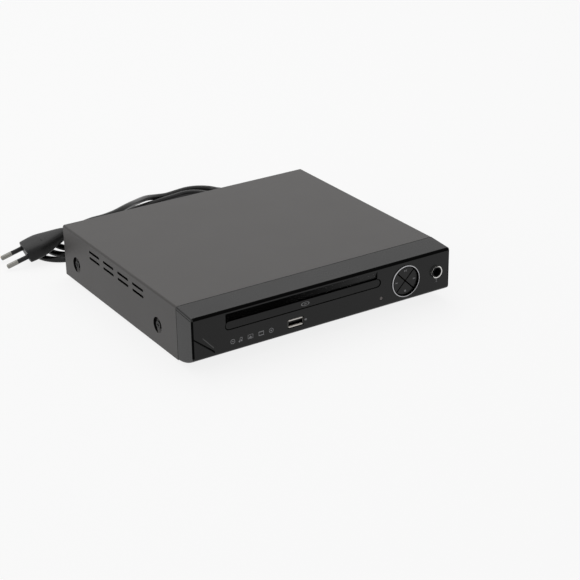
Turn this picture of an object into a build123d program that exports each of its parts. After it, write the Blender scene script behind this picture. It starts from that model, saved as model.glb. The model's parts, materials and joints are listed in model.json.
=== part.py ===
from build123d import *
import os
from math import acos, cos, pi, radians, sin, sqrt, tan

# A compact disc player with a motor-driven tray, closed, with its mains lead lying in a loose hank
# behind it. Millimetres, +Z up, the front looks along -Y. The origin is on the floor at the middle of
# the player's own box, from the microphone jack's nut at the front to the sockets at the rear.

os.makedirs("parts", exist_ok=True)

# ---------------------------------------------------------------- driving sizes
width = 225.0                   # cover and bezel, side to side
cover_depth = 184.3             # steel cover, front to back
bezel_depth = 22.2              # moulded front
cover_height = 42.0
foot_height = 3.0
nut_reach = 1.5                 # jack nut, proud of the bezel
socket_reach = 7.5              # rear socket barrels, proud of the rear wall

cover_wall = 0.8
pan_wall = 1.0
bezel_wall = 3.0                # front wall of the bezel
bezel_side = 2.4                # its top, sides and underside
seat = 0.3                      # rest gap between pieces that don't touch
running = 0.05                  # radial gap of a shaft in its bore
slip = 0.4                      # gap round pieces that slide past each other

span_y = nut_reach + bezel_depth + cover_depth + socket_reach
front_y = -span_y / 2 + nut_reach
seam_y = front_y + bezel_depth
rear_y = seam_y + cover_depth
half_width = width / 2
top_z = foot_height + cover_height
pan_top = foot_height + pan_wall

# ---------------------------------------------------------------- front face
face_top = 43.4                 # bezel, at its front edge
face_bottom = 11.0
disc_radius = 60.0              # the disc that the tray holds
disc_play = 0.8
disc_recess = disc_radius + disc_play
tray_margin = 4.2               # tray beside the disc's recess
tray_width = 2 * (disc_recess + tray_margin)
tray_thickness = 6.0
slot_margin = 2.25              # slot beyond the tray, at each end
slot_width = tray_width + 2 * slot_margin
slot_height = tray_thickness + 2 * slip
slot_x = -18.75
slot_z = 30.8
recess_top = 40.6               # scooped hollow over the door
recess_depth = 2.0
ring_x = 71.1                   # key cluster
ring_z = 26.3
ring_radius = 12.6
ring_band = 1.1
ring_proud = 1.0
key_gap = 0.6
key_length = 7.0
key_sunk = 0.3
key_travel = 0.8
jack_x = half_width - 12.5       # microphone jack
jack_z = 26.6
jack_bore = 3.2
jack_bush = 4.0
nut_radius = 4.9
usb_x = -27.15
usb_z = 18.4
usb_hole_width = 13.7
usb_hole_height = 7.0
usb_width = 13.1
usb_height = 5.9
usb_length = 12.0
usb_wall = 0.35
lamp_x = 48.9
lamp_z = 17.6
lamp_radius = 1.5

# ---------------------------------------------------------------- loader
tray_bottom = slot_z - tray_thickness / 2
tray_top = slot_z + tray_thickness / 2
tray_left = slot_x - tray_width / 2
tray_right = slot_x + tray_width / 2
door_thickness = 3.0
door_sunk = 0.3
disc_setback = 9.2              # disc's recess behind the front face
disc_y = front_y + disc_recess + disc_setback
tray_rear = disc_y + disc_recess + 28.45
frame_wall = 2.5
frame_front = front_y + 12.25
frame_rear = tray_rear + 5.0
floor_z = tray_bottom - 11.8    # underside of the loader's floor
floor_wall = 2.0
bridge_z = tray_top + 2.8
module = 1.0
rack_pitch_x = tray_left + 11.75
rack_wall = 1.8                 # height of the rack's teeth inside the tray
gear_y = front_y + 22.75
drive_teeth = 24
wheel_teeth = 30
pinion_teeth = 14
pulley_radius = 10.0
motor_pulley_radius = 3.0
motor_x = slot_x + 46.25
motor_y = gear_y + 9.0
motor_radius = 10.0
tooth_share = 0.42              # tooth width as a share of the pitch, so the mesh has backlash

# ---------------------------------------------------------------- traverse under the disc
pivot_y = disc_y + 78.25
deck_z = floor_z + 3.5
deck_wall = 1.2
deck_tilt = 0.08                # radians, front down
rod_radius = 1.5
rod_z = deck_z - 2.9
screw_pitch = 3.0
pin_radius = 1.4
pin_y = disc_y - 30.05
cam_travel = 12.0

# ---------------------------------------------------------------- cord
cord_radius = 2.5
relief_x = 88.0
relief_z = 16.0
relief_length = 24.0
relief_stem = 4.8               # in the rear wall's hole
layer_gap = 0.5                 # between piled turns
hank_x = -12.0
hank_y = 163.0
hank_turn = 9.0                 # degrees, the hank's long axis from +X
cord_floor = cord_radius + 0.05
cord_upper = cord_floor + 2 * cord_radius + layer_gap


def facing(y):
    """The upright plane at y whose normal looks to the front."""
    return Plane.XZ.offset(-y)


def finish(part, name):
    """Label a piece and write it."""
    part.label = name
    export_step(part, "parts/" + name + ".step")


def gear_points(centre, teeth, pitch_module, turn=0.0):
    """Outline of a spur gear with flanks on the involute, one tooth centred on the angle turn."""
    pitch_r = teeth * pitch_module / 2
    base_r = pitch_r * cos(radians(20))
    root_r = pitch_r - 1.15 * pitch_module
    tip_r = pitch_r + 0.85 * pitch_module

    def roll(r):
        angle = acos(min(1.0, base_r / r))
        return tan(angle) - angle

    def half_angle(r):
        return pi * tooth_share / teeth + roll(pitch_r) - roll(max(r, base_r))

    points = []
    for tooth in range(teeth):
        middle = turn + 2 * pi * tooth / teeth
        for side, radii in ((-1, (root_r, pitch_r, tip_r)), (1, (tip_r, pitch_r, root_r))):
            for r in radii:
                angle = middle + side * half_angle(r)
                points.append((centre[0] + r * cos(angle), centre[1] + r * sin(angle)))
    return points


# ================================================================ case
rear_wall_y = rear_y - seat - pan_wall          # inner face of the rear wall
dimple_depth = 2.0
dimple_radius = 6.25
dimple_seat = 4.0
flange_x = half_width - dimple_depth - cover_wall
dimple_spots = ((seam_y + 29.4, 19.0), (rear_y - 21.3, 18.4))
vent_pitch = 23.8
vent_y = seam_y + 93.8
side_screw_radius = 1.5

with BuildPart() as top_cover:
    with BuildSketch(facing(rear_y)):
        with Locations((0, foot_height + cover_height / 2)):
            shell_face = Rectangle(width, cover_height)
        fillet(shell_face.vertices().group_by(Axis.Y)[-1], radius=1.6)
        with Locations((0, foot_height + (cover_height - cover_wall) / 2)):
            Rectangle(width - 2 * cover_wall, cover_height - cover_wall, mode=Mode.SUBTRACT)
    extrude(amount=cover_depth)
    # ventilation slots, the same on both sides
    with BuildSketch(Plane.YZ.offset(-half_width - 1)):
        for row_z in (foot_height + 35.4, foot_height + 30.3):
            with Locations((vent_y, row_z)):
                with GridLocations(vent_pitch, 1, 4, 1):
                    SlotOverall(17.0, 1.8)
    extrude(amount=width + 2, mode=Mode.SUBTRACT)
    # pressed-in screw seats that reach the pan's flanges
    for side in (-1, 1):
        for seat_y, seat_z in dimple_spots:
            dimple = Plane(origin=(side * half_width, seat_y, seat_z), z_dir=(-side, 0, 0))
            base = (Align.CENTER, Align.CENTER, Align.MIN)
            with Locations(dimple):
                Cone(dimple_radius + cover_wall, dimple_seat + cover_wall, dimple_depth + cover_wall,
                     align=base)
                Cone(dimple_radius, dimple_seat, dimple_depth, align=base, mode=Mode.SUBTRACT)
                Cylinder(side_screw_radius + 0.2, 3 * dimple_depth, align=base, mode=Mode.SUBTRACT)
finish(top_cover.part, "top_cover")

rca_x = -52.0
rca_pitch = 14.0
rca_z = (18.0, top_z - 10.0)
rca_radius = 4.15
block_width = 3 * rca_pitch + 2
board_z = 9.0
board_wall = 1.6
board_top = board_z + board_wall
block_height = top_z - cover_wall - 2.6 - board_top
wall_left = tray_left - slip
wall_right = tray_right + slip
lug_reach = frame_wall + 4.35    # loader's screw lugs, from the inside of its walls
lug_x = (wall_left - lug_reach, wall_right + lug_reach)
lug_y = (frame_front + 36.0, frame_rear - 12.0)
lug_spots = [(x, y) for x in lug_x for y in lug_y]
board_gap = 3.7                  # from the pan's flanges
psu_x = (lug_x[1] + 5.0, flange_x - board_gap)
psu_y = (seam_y + 12.05, rear_y - 8.25)
main_x = (board_gap - flange_x, lug_x[1] - 1.5)
main_y = (frame_rear + 4.0, rear_y - 3.25)
usb_board_x = (usb_x - 14.85, usb_x + 15.15)
usb_board_y = (front_y + 5.0, front_y + 34.25)
usb_board_top = usb_z - usb_height / 2
board_inset = 4.5
board_screw = 1.3


def corners(xs, ys, inset):
    """Screw places at the corners of a board."""
    return [(x, y) for x in (xs[0] + inset, xs[1] - inset) for y in (ys[0] + inset, ys[1] - inset)]


main_spots = corners(main_x, main_y, board_inset)
psu_spots = corners(psu_x, psu_y, board_inset)
usb_spot_y = usb_board_y[1] - board_inset
usb_spots = [(x, usb_spot_y) for x in (usb_board_x[0] + board_inset, usb_board_x[1] - board_inset)]
foot_x = half_width - 24.5
foot_spots = [(x, y) for x in (-foot_x, foot_x) for y in (seam_y + 20.05, rear_y - 20.25)]
foot_radius = 7.0
foot_stem = 2.0

with BuildPart() as chassis_pan:
    pan_front = seam_y + 1.5
    pan_length = rear_wall_y + pan_wall - pan_front
    pan_middle = pan_front + pan_length / 2
    with BuildSketch(Plane.XY.offset(foot_height)):
        with Locations((0, pan_middle)):
            Rectangle(2 * flange_x, pan_length)
        # slots for air under the power board and the main board
        with Locations(((psu_x[0] + psu_x[1]) / 2, (psu_y[0] + psu_y[1]) / 2)):
            with GridLocations(1, 10.0, 1, 5):
                SlotOverall(24.0, 3.0, mode=Mode.SUBTRACT)
        with Locations((main_x[0] + 48.0, (main_y[0] + main_y[1]) / 2)):
            with GridLocations(24.0, 8.0, 2, 2):
                SlotOverall(20.0, 3.0, mode=Mode.SUBTRACT)
        with Locations(*foot_spots):
            Circle(foot_stem, mode=Mode.SUBTRACT)
    extrude(amount=pan_wall)
    # side flanges, with tapped holes for the cover's screws
    flange_length = pan_length - pan_wall
    for side in (-1, 1):
        with BuildSketch(Plane.XY.offset(pan_top)):
            with Locations((side * (flange_x - pan_wall / 2), pan_front + flange_length / 2)):
                Rectangle(pan_wall, flange_length)
        extrude(amount=22.0)
        for seat_y, seat_z in dimple_spots:
            tapped = Plane(origin=(side * (flange_x + 1), seat_y, seat_z), z_dir=(-side, 0, 0))
            with Locations(tapped):
                Cylinder(side_screw_radius + 0.05, 4.0, align=(Align.CENTER, Align.CENTER, Align.MIN),
                         mode=Mode.SUBTRACT)
finish(chassis_pan.part, "chassis_pan")

# rear wall with its socket, lead and air openings
with BuildPart() as rear_panel:
    panel_top = top_z - cover_wall - seat
    with BuildSketch(facing(rear_wall_y + pan_wall)):
        with Locations((0, (pan_top + panel_top) / 2)):
            Rectangle(2 * (half_width - cover_wall - seat), panel_top - pan_top)
        for row_z in rca_z:
            with Locations((rca_x, row_z)):
                with GridLocations(rca_pitch, 1, 3, 1):
                    Circle(rca_radius + 0.5, mode=Mode.SUBTRACT)
        with Locations((relief_x, relief_z)):
            Circle(relief_stem + 0.2, mode=Mode.SUBTRACT)
        with Locations((20.0, 26.0)):
            with GridLocations(8.0, 1, 7, 1):
                SlotOverall(18.0, 2.4, rotation=90, mode=Mode.SUBTRACT)
    extrude(amount=pan_wall)
finish(rear_panel.part, "rear_panel")

# standoffs under the boards and the loader, with tapped holes
standoff_heights = ((main_spots + psu_spots, board_z, 3.0), (usb_spots, usb_board_top - board_wall, 3.0),
                    (lug_spots, floor_z - seat, 3.6))
with BuildPart() as standoffs:
    for spots, standoff_top, standoff_radius in standoff_heights:
        with BuildSketch(Plane.XY.offset(pan_top)):
            with Locations(*spots):
                Circle(standoff_radius)
                Circle(board_screw, mode=Mode.SUBTRACT)
        extrude(amount=standoff_top - pan_top)
finish(standoffs.part, "standoffs")

with BuildPart() as cover_screws:
    for side in (-1, 1):
        for seat_y, seat_z in dimple_spots:
            head = Plane(origin=(side * (half_width - dimple_depth), seat_y, seat_z), z_dir=(side, 0, 0))
            with Locations(head):
                Cylinder(3.0, 1.5, align=(Align.CENTER, Align.CENTER, Align.MIN))
                Cylinder(side_screw_radius, 5.0, align=(Align.CENTER, Align.CENTER, Align.MAX))
            with Locations(head.offset(1.5)):
                Box(3.6, 0.7, 1.4, mode=Mode.SUBTRACT)
                Box(0.7, 3.6, 1.4, mode=Mode.SUBTRACT)
finish(cover_screws.part, "cover_screws")

with BuildPart() as feet:
    with BuildSketch(Plane.XY):
        with Locations(*foot_spots):
            Circle(foot_radius)
    extrude(amount=foot_height)
    fillet(feet.edges().group_by(Axis.Z)[0], radius=0.6)
    with BuildSketch(Plane.XY.offset(foot_height)):
        with Locations(*foot_spots):
            Circle(foot_stem)
    extrude(amount=pan_wall)
    with BuildSketch(Plane.XY.offset(pan_top)):
        with Locations(*foot_spots):
            Circle(foot_stem + 0.8)
    extrude(amount=1.0)
finish(feet.part, "feet")

# ================================================================ moulded front
with BuildPart() as front_bezel:
    with BuildSketch(Plane.YZ.offset(-half_width)):
        with BuildLine():
            Line((seam_y, foot_height), (seam_y, top_z))
            Line((seam_y, top_z), (front_y, face_top))
            Line((front_y, face_top), (front_y, face_bottom))
            ThreePointArc((front_y, face_bottom), ((seam_y + front_y) / 2 - 1, 5.6), (seam_y, foot_height))
        make_face()
    extrude(amount=width)
    fillet(front_bezel.edges().filter_by(Axis.X).group_by(Axis.Y)[0], radius=1.9)
    front_corners = front_bezel.edges().filter_by(GeomType.LINE).filter_by(Axis.Z).group_by(Axis.Y)[0]
    fillet(front_corners, radius=1.2)
    # hollow behind the front wall
    with BuildSketch(Plane.YZ.offset(-half_width + bezel_side)):
        with BuildLine():
            inner_y = front_y + bezel_wall
            Line((seam_y + 1, foot_height + bezel_side), (seam_y + 1, top_z - bezel_side))
            Line((seam_y + 1, top_z - bezel_side), (inner_y, face_top - bezel_side))
            Line((inner_y, face_top - bezel_side), (inner_y, face_bottom + bezel_side))
            Line((inner_y, face_bottom + bezel_side), (seam_y + 1, foot_height + bezel_side))
        make_face()
    extrude(amount=width - 2 * bezel_side, mode=Mode.SUBTRACT)
    # openings in the front wall
    with BuildSketch(facing(front_y)):
        with Locations((slot_x, slot_z)):
            SlotOverall(slot_width, slot_height)
        with Locations((ring_x, ring_z)):
            Circle(ring_radius - ring_band + 0.4)
        with Locations((jack_x, jack_z)):
            Circle(jack_bush + 0.1)
        with Locations((usb_x, usb_z)):
            Rectangle(usb_hole_width, usb_hole_height)
        with Locations((lamp_x, lamp_z)):
            Circle(lamp_radius + running)
    extrude(amount=-2 * bezel_wall, mode=Mode.SUBTRACT)
    # scooped hollow over the door, deepest at the slot
    with BuildSketch(Plane.YZ.offset(slot_x - slot_width / 2 + 0.6)):
        with BuildLine():
            Line((front_y - 1, recess_top), (front_y, recess_top))
            Line((front_y, recess_top), (front_y + recess_depth, slot_z + 2.0))
            Line((front_y + recess_depth, slot_z + 2.0), (front_y - 1, slot_z + 2.0))
            Line((front_y - 1, slot_z + 2.0), (front_y - 1, recess_top))
        make_face()
    extrude(amount=slot_width - 2 * 2.0, mode=Mode.SUBTRACT)
    # styling groove across the lower left corner
    with BuildSketch(facing(front_y)):
        with BuildLine():
            Polyline((-half_width - 1, 29.2), (-half_width - 1, 28.2), (17.3 - half_width, 13.0),
                     (17.9 - half_width, 13.8), close=True)
        make_face()
    extrude(amount=-0.9, mode=Mode.SUBTRACT)
    # shadow groove along both upper side edges
    for side in (-1, 1):
        with BuildSketch(Plane.YZ.offset(side * half_width)):
            with BuildLine():
                Polyline((seam_y + 1, 43.1), (front_y + 1.6, 41.5), (front_y + 1.6, 41.0), (seam_y + 1, 42.6),
                         close=True)
            make_face()
        extrude(amount=-side * 0.7, mode=Mode.SUBTRACT)
finish(front_bezel.part, "front_bezel")

ring_bore = ring_radius - ring_band
with BuildPart() as key_ring:
    with BuildSketch(facing(front_y)):
        with Locations((ring_x, ring_z)):
            Circle(ring_radius)
            Circle(ring_bore, mode=Mode.SUBTRACT)
    extrude(amount=ring_proud)
    fillet(key_ring.edges().group_by(Axis.Y)[0], radius=0.35)
    with BuildSketch(facing(front_y)):
        with Locations((ring_x, ring_z)):
            Circle(ring_bore + 0.35)
            Circle(ring_bore, mode=Mode.SUBTRACT)
    extrude(amount=-bezel_wall)
finish(key_ring.part, "key_ring")

# four keys, quarters of one disc, each pressed on its own
key_names = ("key_top", "key_left", "key_bottom", "key_right")
key_radius = ring_bore - slip
key_front = front_y + key_sunk
key_back = key_front + key_length
for turn, key_name in enumerate(key_names):
    with BuildPart() as key:
        key_way = (cos(turn * pi / 2), 0, sin(turn * pi / 2))
        key_plane = Plane(origin=(ring_x, key_front, ring_z), x_dir=key_way, z_dir=(0, -1, 0))
        with BuildSketch(key_plane):
            with BuildLine():
                Polyline((0, key_gap), (2 * key_radius, 2 * key_radius + key_gap),
                         (-2 * key_radius, 2 * key_radius + key_gap), close=True)
            make_face()
            Circle(key_radius, mode=Mode.INTERSECT)
        extrude(amount=-key_length)
        fillet(key.edges().group_by(Axis.Y)[0], radius=0.3)
    finish(key.part, key_name)

with BuildPart() as jack_nut:
    with BuildSketch(facing(front_y)):
        with Locations((jack_x, jack_z)):
            Circle(nut_radius)
            Circle(jack_bush + running, mode=Mode.SUBTRACT)
    extrude(amount=nut_reach)
    chamfer(jack_nut.edges().group_by(Axis.Y)[0], length=0.3)
finish(jack_nut.part, "jack_nut")

front_board_front = front_y + 10.6
jack_body_front = front_y + bezel_wall + seat
with BuildPart() as mic_jack:
    with BuildSketch(facing(jack_body_front)):
        with Locations((jack_x, jack_z)):
            Rectangle(13.0, 13.0)
    extrude(amount=-(front_board_front - jack_body_front))
    with BuildSketch(facing(jack_body_front)):
        with Locations((jack_x, jack_z)):
            Circle(jack_bush)
    extrude(amount=jack_body_front - front_y + nut_reach - 0.4)
    with BuildSketch(facing(front_y - nut_reach)):
        with Locations((jack_x, jack_z)):
            Circle(jack_bore)
    extrude(amount=-(front_board_front - front_y + nut_reach - 0.8), mode=Mode.SUBTRACT)
finish(mic_jack.part, "mic_jack")

# upright board behind the keys, the lamp and the jack
front_board_x = (lamp_x - 12.4, half_width - 3.5)
board_step_x = slot_x + slot_width / 2 + 6.5     # clear of the tray's end
with BuildPart() as front_board:
    with BuildSketch(facing(front_board_front)):
        with BuildLine():
            Polyline((front_board_x[0], 12.0), (front_board_x[1], 12.0), (front_board_x[1], 40.0),
                     (board_step_x, 40.0), (board_step_x, 24.0), (lamp_x - 5.4, 24.0), (lamp_x - 5.4, 15.7),
                     (front_board_x[0], 15.7), close=True)
        make_face()
    extrude(amount=-board_wall)
finish(front_board.part, "front_board")

with BuildPart() as tact_switches:
    for turn in range(4):
        reach = 6.4
        switch_x = ring_x - reach * sin(turn * pi / 2)
        switch_z = ring_z + reach * cos(turn * pi / 2)
        switch = facing(front_board_front)
        with BuildSketch(switch):
            with Locations((switch_x, switch_z)):
                Rectangle(4.5, 4.5)
        extrude(amount=1.2)
        with BuildSketch(switch.offset(1.2)):
            with Locations((switch_x, switch_z)):
                Circle(1.2)
        extrude(amount=front_board_front - 1.2 - key_back - key_travel - 0.1)
finish(tact_switches.part, "tact_switches")

with BuildPart() as status_lamp:
    with BuildSketch(facing(front_y)):
        with Locations((lamp_x, lamp_z)):
            Circle(lamp_radius)
    extrude(amount=-(front_board_front - front_y))
    fillet(status_lamp.edges().group_by(Axis.Y)[0], radius=0.6)
finish(status_lamp.part, "status_lamp")

with BuildPart() as usb_board:
    with BuildSketch(Plane.XY.offset(usb_board_top)):
        with Locations((usb_x + 0.15, (usb_board_y[0] + usb_board_y[1]) / 2)):
            Rectangle(usb_board_x[1] - usb_board_x[0], usb_board_y[1] - usb_board_y[0])
        with Locations(*usb_spots):
            Circle(board_screw + 0.2, mode=Mode.SUBTRACT)
    extrude(amount=-board_wall)
finish(usb_board.part, "usb_board")

usb_front = front_y + 0.3
with BuildPart() as usb_shell:
    with BuildSketch(facing(usb_front)):
        with Locations((usb_x, usb_z)):
            outer = Rectangle(usb_width, usb_height)
        fillet(outer.vertices(), radius=0.5)
        with Locations((usb_x, usb_z)):
            Rectangle(usb_width - 2 * usb_wall, usb_height - 2 * usb_wall, mode=Mode.SUBTRACT)
    extrude(amount=-usb_length)
finish(usb_shell.part, "usb_shell")

with BuildPart() as usb_tongue:
    with BuildSketch(facing(usb_front + usb_length)):
        with Locations((usb_x, usb_z)):
            Rectangle(usb_width - 2 * usb_wall - 0.2, usb_height - 2 * usb_wall - 0.2)
    extrude(amount=2.5)
    with BuildSketch(facing(usb_front + usb_length - 2.5)):
        with Locations((usb_x, usb_z + 0.9)):
            Rectangle(11.1, 1.8)
    extrude(amount=usb_length - 4.0)
finish(usb_tongue.part, "usb_tongue")

# ================================================================ tray and its door
door_gap = 0.7                  # at the slot's ends
tray_front = front_y + door_sunk + door_thickness
small_recess = 41.0             # for an 80 mm disc
disc_step = 2.4
small_step = 0.8
fork_half = 21.0

with BuildPart() as tray_door:
    with BuildSketch(facing(front_y + door_sunk)):
        with Locations((slot_x, slot_z)):
            SlotOverall(slot_width - 2 * door_gap, slot_height - 2 * slip)
    extrude(amount=-door_thickness)
    fillet(tray_door.edges().group_by(Axis.Y)[0], radius=0.4)
finish(tray_door.part, "tray_door")

rack_root = rack_pitch_x - 1.15 * module
rack_tip = rack_pitch_x + 0.85 * module
rack_front = tray_front + 1.5
drive_x = rack_pitch_x + drive_teeth * module / 2
channel_right = drive_x + drive_teeth * module / 2 + 2.0
with BuildPart() as disc_tray:
    with BuildSketch(Plane.XY.offset(tray_bottom)):
        with Locations((slot_x, (tray_front + tray_rear) / 2)):
            Rectangle(tray_width, tray_rear - tray_front)
    extrude(amount=tray_top - tray_bottom)
    with BuildSketch(Plane.XY.offset(tray_top)):
        with Locations((slot_x, disc_y)):
            Circle(disc_recess)
    extrude(amount=-disc_step, mode=Mode.SUBTRACT)
    with BuildSketch(Plane.XY.offset(tray_top - disc_step)):
        with Locations((slot_x, disc_y)):
            Circle(small_recess)
    extrude(amount=-small_step, mode=Mode.SUBTRACT)
    # window for the turntable and the lens, open at the rear
    with BuildSketch(Plane.XY.offset(tray_bottom)):
        with Locations((slot_x, disc_y)):
            Circle(fork_half)
        with Locations((slot_x, (disc_y + tray_rear) / 2)):
            Rectangle(2 * fork_half, tray_rear - disc_y)
    extrude(amount=tray_top - tray_bottom, mode=Mode.SUBTRACT)
    # channel in the underside for the drive gear, with the rack on its left wall
    with BuildSketch(Plane.XY.offset(tray_bottom)):
        with Locations(((rack_root + channel_right) / 2, (rack_front + tray_rear + 1) / 2)):
            Rectangle(channel_right - rack_root, tray_rear + 1 - rack_front)
    extrude(amount=rack_wall, mode=Mode.SUBTRACT)
    with BuildSketch(Plane.XY.offset(tray_bottom)):
        tooth_pitch = pi * module
        flank = tan(radians(20))
        half_root = tooth_pitch * tooth_share / 2 + (rack_pitch_x - rack_root) * flank
        half_tip = tooth_pitch * tooth_share / 2 - (rack_tip - rack_pitch_x) * flank
        first = int((rack_front - gear_y) / tooth_pitch) - 1
        last = int((tray_rear - gear_y) / tooth_pitch)
        for tooth in range(first, last + 1):
            # the gear has a tooth on the line of centres, so the rack has a space there
            tooth_y = gear_y + (tooth + 0.5) * tooth_pitch
            if rack_front + half_root < tooth_y < tray_rear - half_root:
                with BuildLine():
                    Polyline((rack_root - 0.5, tooth_y - half_root), (rack_root, tooth_y - half_root),
                             (rack_tip, tooth_y - half_tip), (rack_tip, tooth_y + half_tip),
                             (rack_root, tooth_y + half_root), (rack_root - 0.5, tooth_y + half_root),
                             close=True)
                make_face()
    extrude(amount=rack_wall)
finish(disc_tray.part, "disc_tray")

# ================================================================ loader frame
floor_top = floor_z + floor_wall
deck_x = (slot_x - 39.25, slot_x + 38.75)
deck_y = (disc_y - 23.75, disc_y + 82.25)
pulley_x = drive_x + (wheel_teeth + pinion_teeth) * module / 2
cam_plate = 2.0
slit_y = (pin_y - cam_plate / 2 - slip, pin_y + cam_plate / 2 + slip)
pin_end = pin_y - cam_plate / 2 - 1.2
axle_radius = 2.0

with BuildPart() as loader_frame:
    # floor, with a tongue under the gears at the front
    with BuildSketch(Plane.XY.offset(floor_z)):
        with Locations(((wall_left + wall_right) / 2, (frame_front + frame_rear) / 2)):
            Rectangle(wall_right - wall_left + 2 * frame_wall, frame_rear - frame_front)
        with Locations((drive_x - 1.5, (frame_front + front_y + 5.0) / 2)):
            Rectangle(37.0, frame_front - front_y - 5.0)
        with Locations((usb_x, frame_front)):
            Rectangle(16.0, 4.0, mode=Mode.SUBTRACT)
        with Locations(((deck_x[0] + deck_x[1]) / 2, (deck_y[0] + deck_y[1]) / 2)):
            Rectangle(deck_x[1] - deck_x[0] + 1.6, deck_y[1] - deck_y[0] + 1.6, mode=Mode.SUBTRACT)
        with Locations((slot_x + 5.75, pin_y)):
            Rectangle(66.0, slit_y[1] - slit_y[0], mode=Mode.SUBTRACT)
        # way down for the traverse's pin
        with Locations((slot_x, (pin_end - seat + deck_y[0]) / 2)):
            Rectangle(2 * (pin_radius + slip), deck_y[0] - pin_end + seat, mode=Mode.SUBTRACT)
        with Locations(*lug_spots):
            Circle(5.5)
        with Locations(*lug_spots):
            Circle(board_screw + 0.3, mode=Mode.SUBTRACT)
        # room for the heads of the small board's screws
        with Locations(*usb_spots):
            Circle(3.2, mode=Mode.SUBTRACT)
    extrude(amount=floor_wall)
    # side walls and rear wall
    with BuildSketch(Plane.XY.offset(floor_top)):
        for wall_x in (wall_left - frame_wall / 2, wall_right + frame_wall / 2):
            with Locations((wall_x, (frame_front + frame_rear) / 2)):
                Rectangle(frame_wall, frame_rear - frame_front)
        with Locations(((wall_left + wall_right) / 2, frame_rear - frame_wall / 2)):
            Rectangle(wall_right - wall_left, frame_wall)
    extrude(amount=bridge_z - floor_top)
    # ledges that carry the tray, and tabs that hold it down
    for inner_x, side in ((wall_left, 1), (wall_right, -1)):
        with BuildSketch(Plane.XY.offset(tray_bottom - seat)):
            with Locations((inner_x + side * 1.75, (frame_front + frame_rear - frame_wall) / 2)):
                Rectangle(3.5, frame_rear - frame_wall - frame_front)
        extrude(amount=-2.0)
        for tab_y in (frame_front + 8, disc_y + 16.25, tray_rear - 13.0):
            with BuildSketch(Plane.XY.offset(tray_top + seat)):
                with Locations((inner_x + side * 1.25, tab_y)):
                    Rectangle(2.5, 9.0)
            extrude(amount=1.8)
    # posts for the gears
    with BuildSketch(Plane.XY.offset(floor_top)):
        with Locations((drive_x, gear_y)):
            Circle(axle_radius)
    extrude(amount=tray_bottom - 0.8 - floor_top)
    with BuildSketch(Plane.XY.offset(floor_top)):
        with Locations((pulley_x, gear_y)):
            Circle(axle_radius)
    extrude(amount=6.6)
    # ears that hold the traverse's trunnions
    for ear_x in (deck_x[0] - 2.3, deck_x[1] + 2.3):
        with BuildSketch(Plane.XY.offset(floor_z)):
            with Locations((ear_x, pivot_y)):
                Rectangle(3.0, 9.0)
        extrude(amount=8.6)
    with BuildSketch(Plane.YZ.offset(deck_x[0] - 10)):
        with Locations((pivot_y, deck_z + deck_wall / 2)):
            Circle(rod_radius + running)
    extrude(amount=deck_x[1] - deck_x[0] + 20, mode=Mode.SUBTRACT)
    # hole for the loading motor's boss
    with BuildSketch(Plane.XY.offset(floor_z)):
        with Locations((motor_x, motor_y)):
            Circle(3.5)
    extrude(amount=floor_wall, mode=Mode.SUBTRACT)
finish(loader_frame.part, "loader_frame")

with BuildPart() as loader_screws:
    with BuildSketch(Plane.XY.offset(floor_top)):
        with Locations(*lug_spots):
            Circle(2.8)
    extrude(amount=1.6)
    fillet(loader_screws.edges().group_by(Axis.Z)[-1], radius=0.6)
    with BuildSketch(Plane.XY.offset(floor_top)):
        with Locations(*lug_spots):
            Circle(board_screw)
    extrude(amount=-8.0)
finish(loader_screws.part, "loader_screws")

puck_hole = 13.2
with BuildPart() as clamp_bridge:
    bridge_half = (wall_right - wall_left) / 2 + frame_wall
    with BuildSketch(Plane.XY.offset(bridge_z)):
        with Locations((slot_x, disc_y)):
            Rectangle(2 * bridge_half, 26.0)
            Circle(24.0)
            Circle(puck_hole, mode=Mode.SUBTRACT)
    extrude(amount=1.2)
    # stiffening ribs along both edges of the strap
    for rib_x in (slot_x - 44.0, slot_x + 44.0):
        with BuildSketch(Plane.XY.offset(bridge_z + 1.2)):
            with Locations((rib_x, disc_y)):
                with GridLocations(1, 20.0, 1, 2):
                    Rectangle(36.0, 1.4)
        extrude(amount=1.6)
finish(clamp_bridge.part, "clamp_bridge")

puck_bottom = tray_top + 0.6
with BuildPart() as clamp_puck:
    with BuildSketch(Plane.XY.offset(puck_bottom)):
        with Locations((slot_x, disc_y)):
            Circle(puck_hole - 0.7)
    extrude(amount=bridge_z + 1.2 + seat - puck_bottom)
    with BuildSketch(Plane.XY.offset(bridge_z + 1.2 + seat)):
        with Locations((slot_x, disc_y)):
            Circle(16.5)
    extrude(amount=1.4)
    with BuildSketch(Plane.XY.offset(puck_bottom)):
        with Locations((slot_x, disc_y)):
            Circle(8.2)
    extrude(amount=1.4, mode=Mode.SUBTRACT)
finish(clamp_puck.part, "clamp_puck")

# ================================================================ loading drive
pulley_z = floor_top + 0.5
wheel_z = pulley_z + 3.0
wheel_width = 2.5
drive_top = tray_bottom + rack_wall - seat

with BuildPart() as drive_gear:
    with BuildSketch(Plane.XY.offset(wheel_z)):
        with BuildLine():
            Polyline(*gear_points((drive_x, gear_y), wheel_teeth, module), close=True)
        make_face()
    extrude(amount=wheel_width)
    with BuildSketch(Plane.XY.offset(wheel_z + wheel_width)):
        with BuildLine():
            Polyline(*gear_points((drive_x, gear_y), drive_teeth, module), close=True)
        make_face()
    extrude(amount=drive_top - wheel_z - wheel_width)
    with BuildSketch(Plane.XY.offset(pulley_z)):
        with Locations((drive_x, gear_y)):
            Circle(3.6)
    extrude(amount=wheel_z - pulley_z)
    with BuildSketch(Plane.XY.offset(pulley_z - 1)):
        with Locations((drive_x, gear_y)):
            Circle(axle_radius + running)
    extrude(amount=12.0, mode=Mode.SUBTRACT)
finish(drive_gear.part, "drive_gear")

belt_radius = 0.6
pulley_width = 2.5


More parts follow.
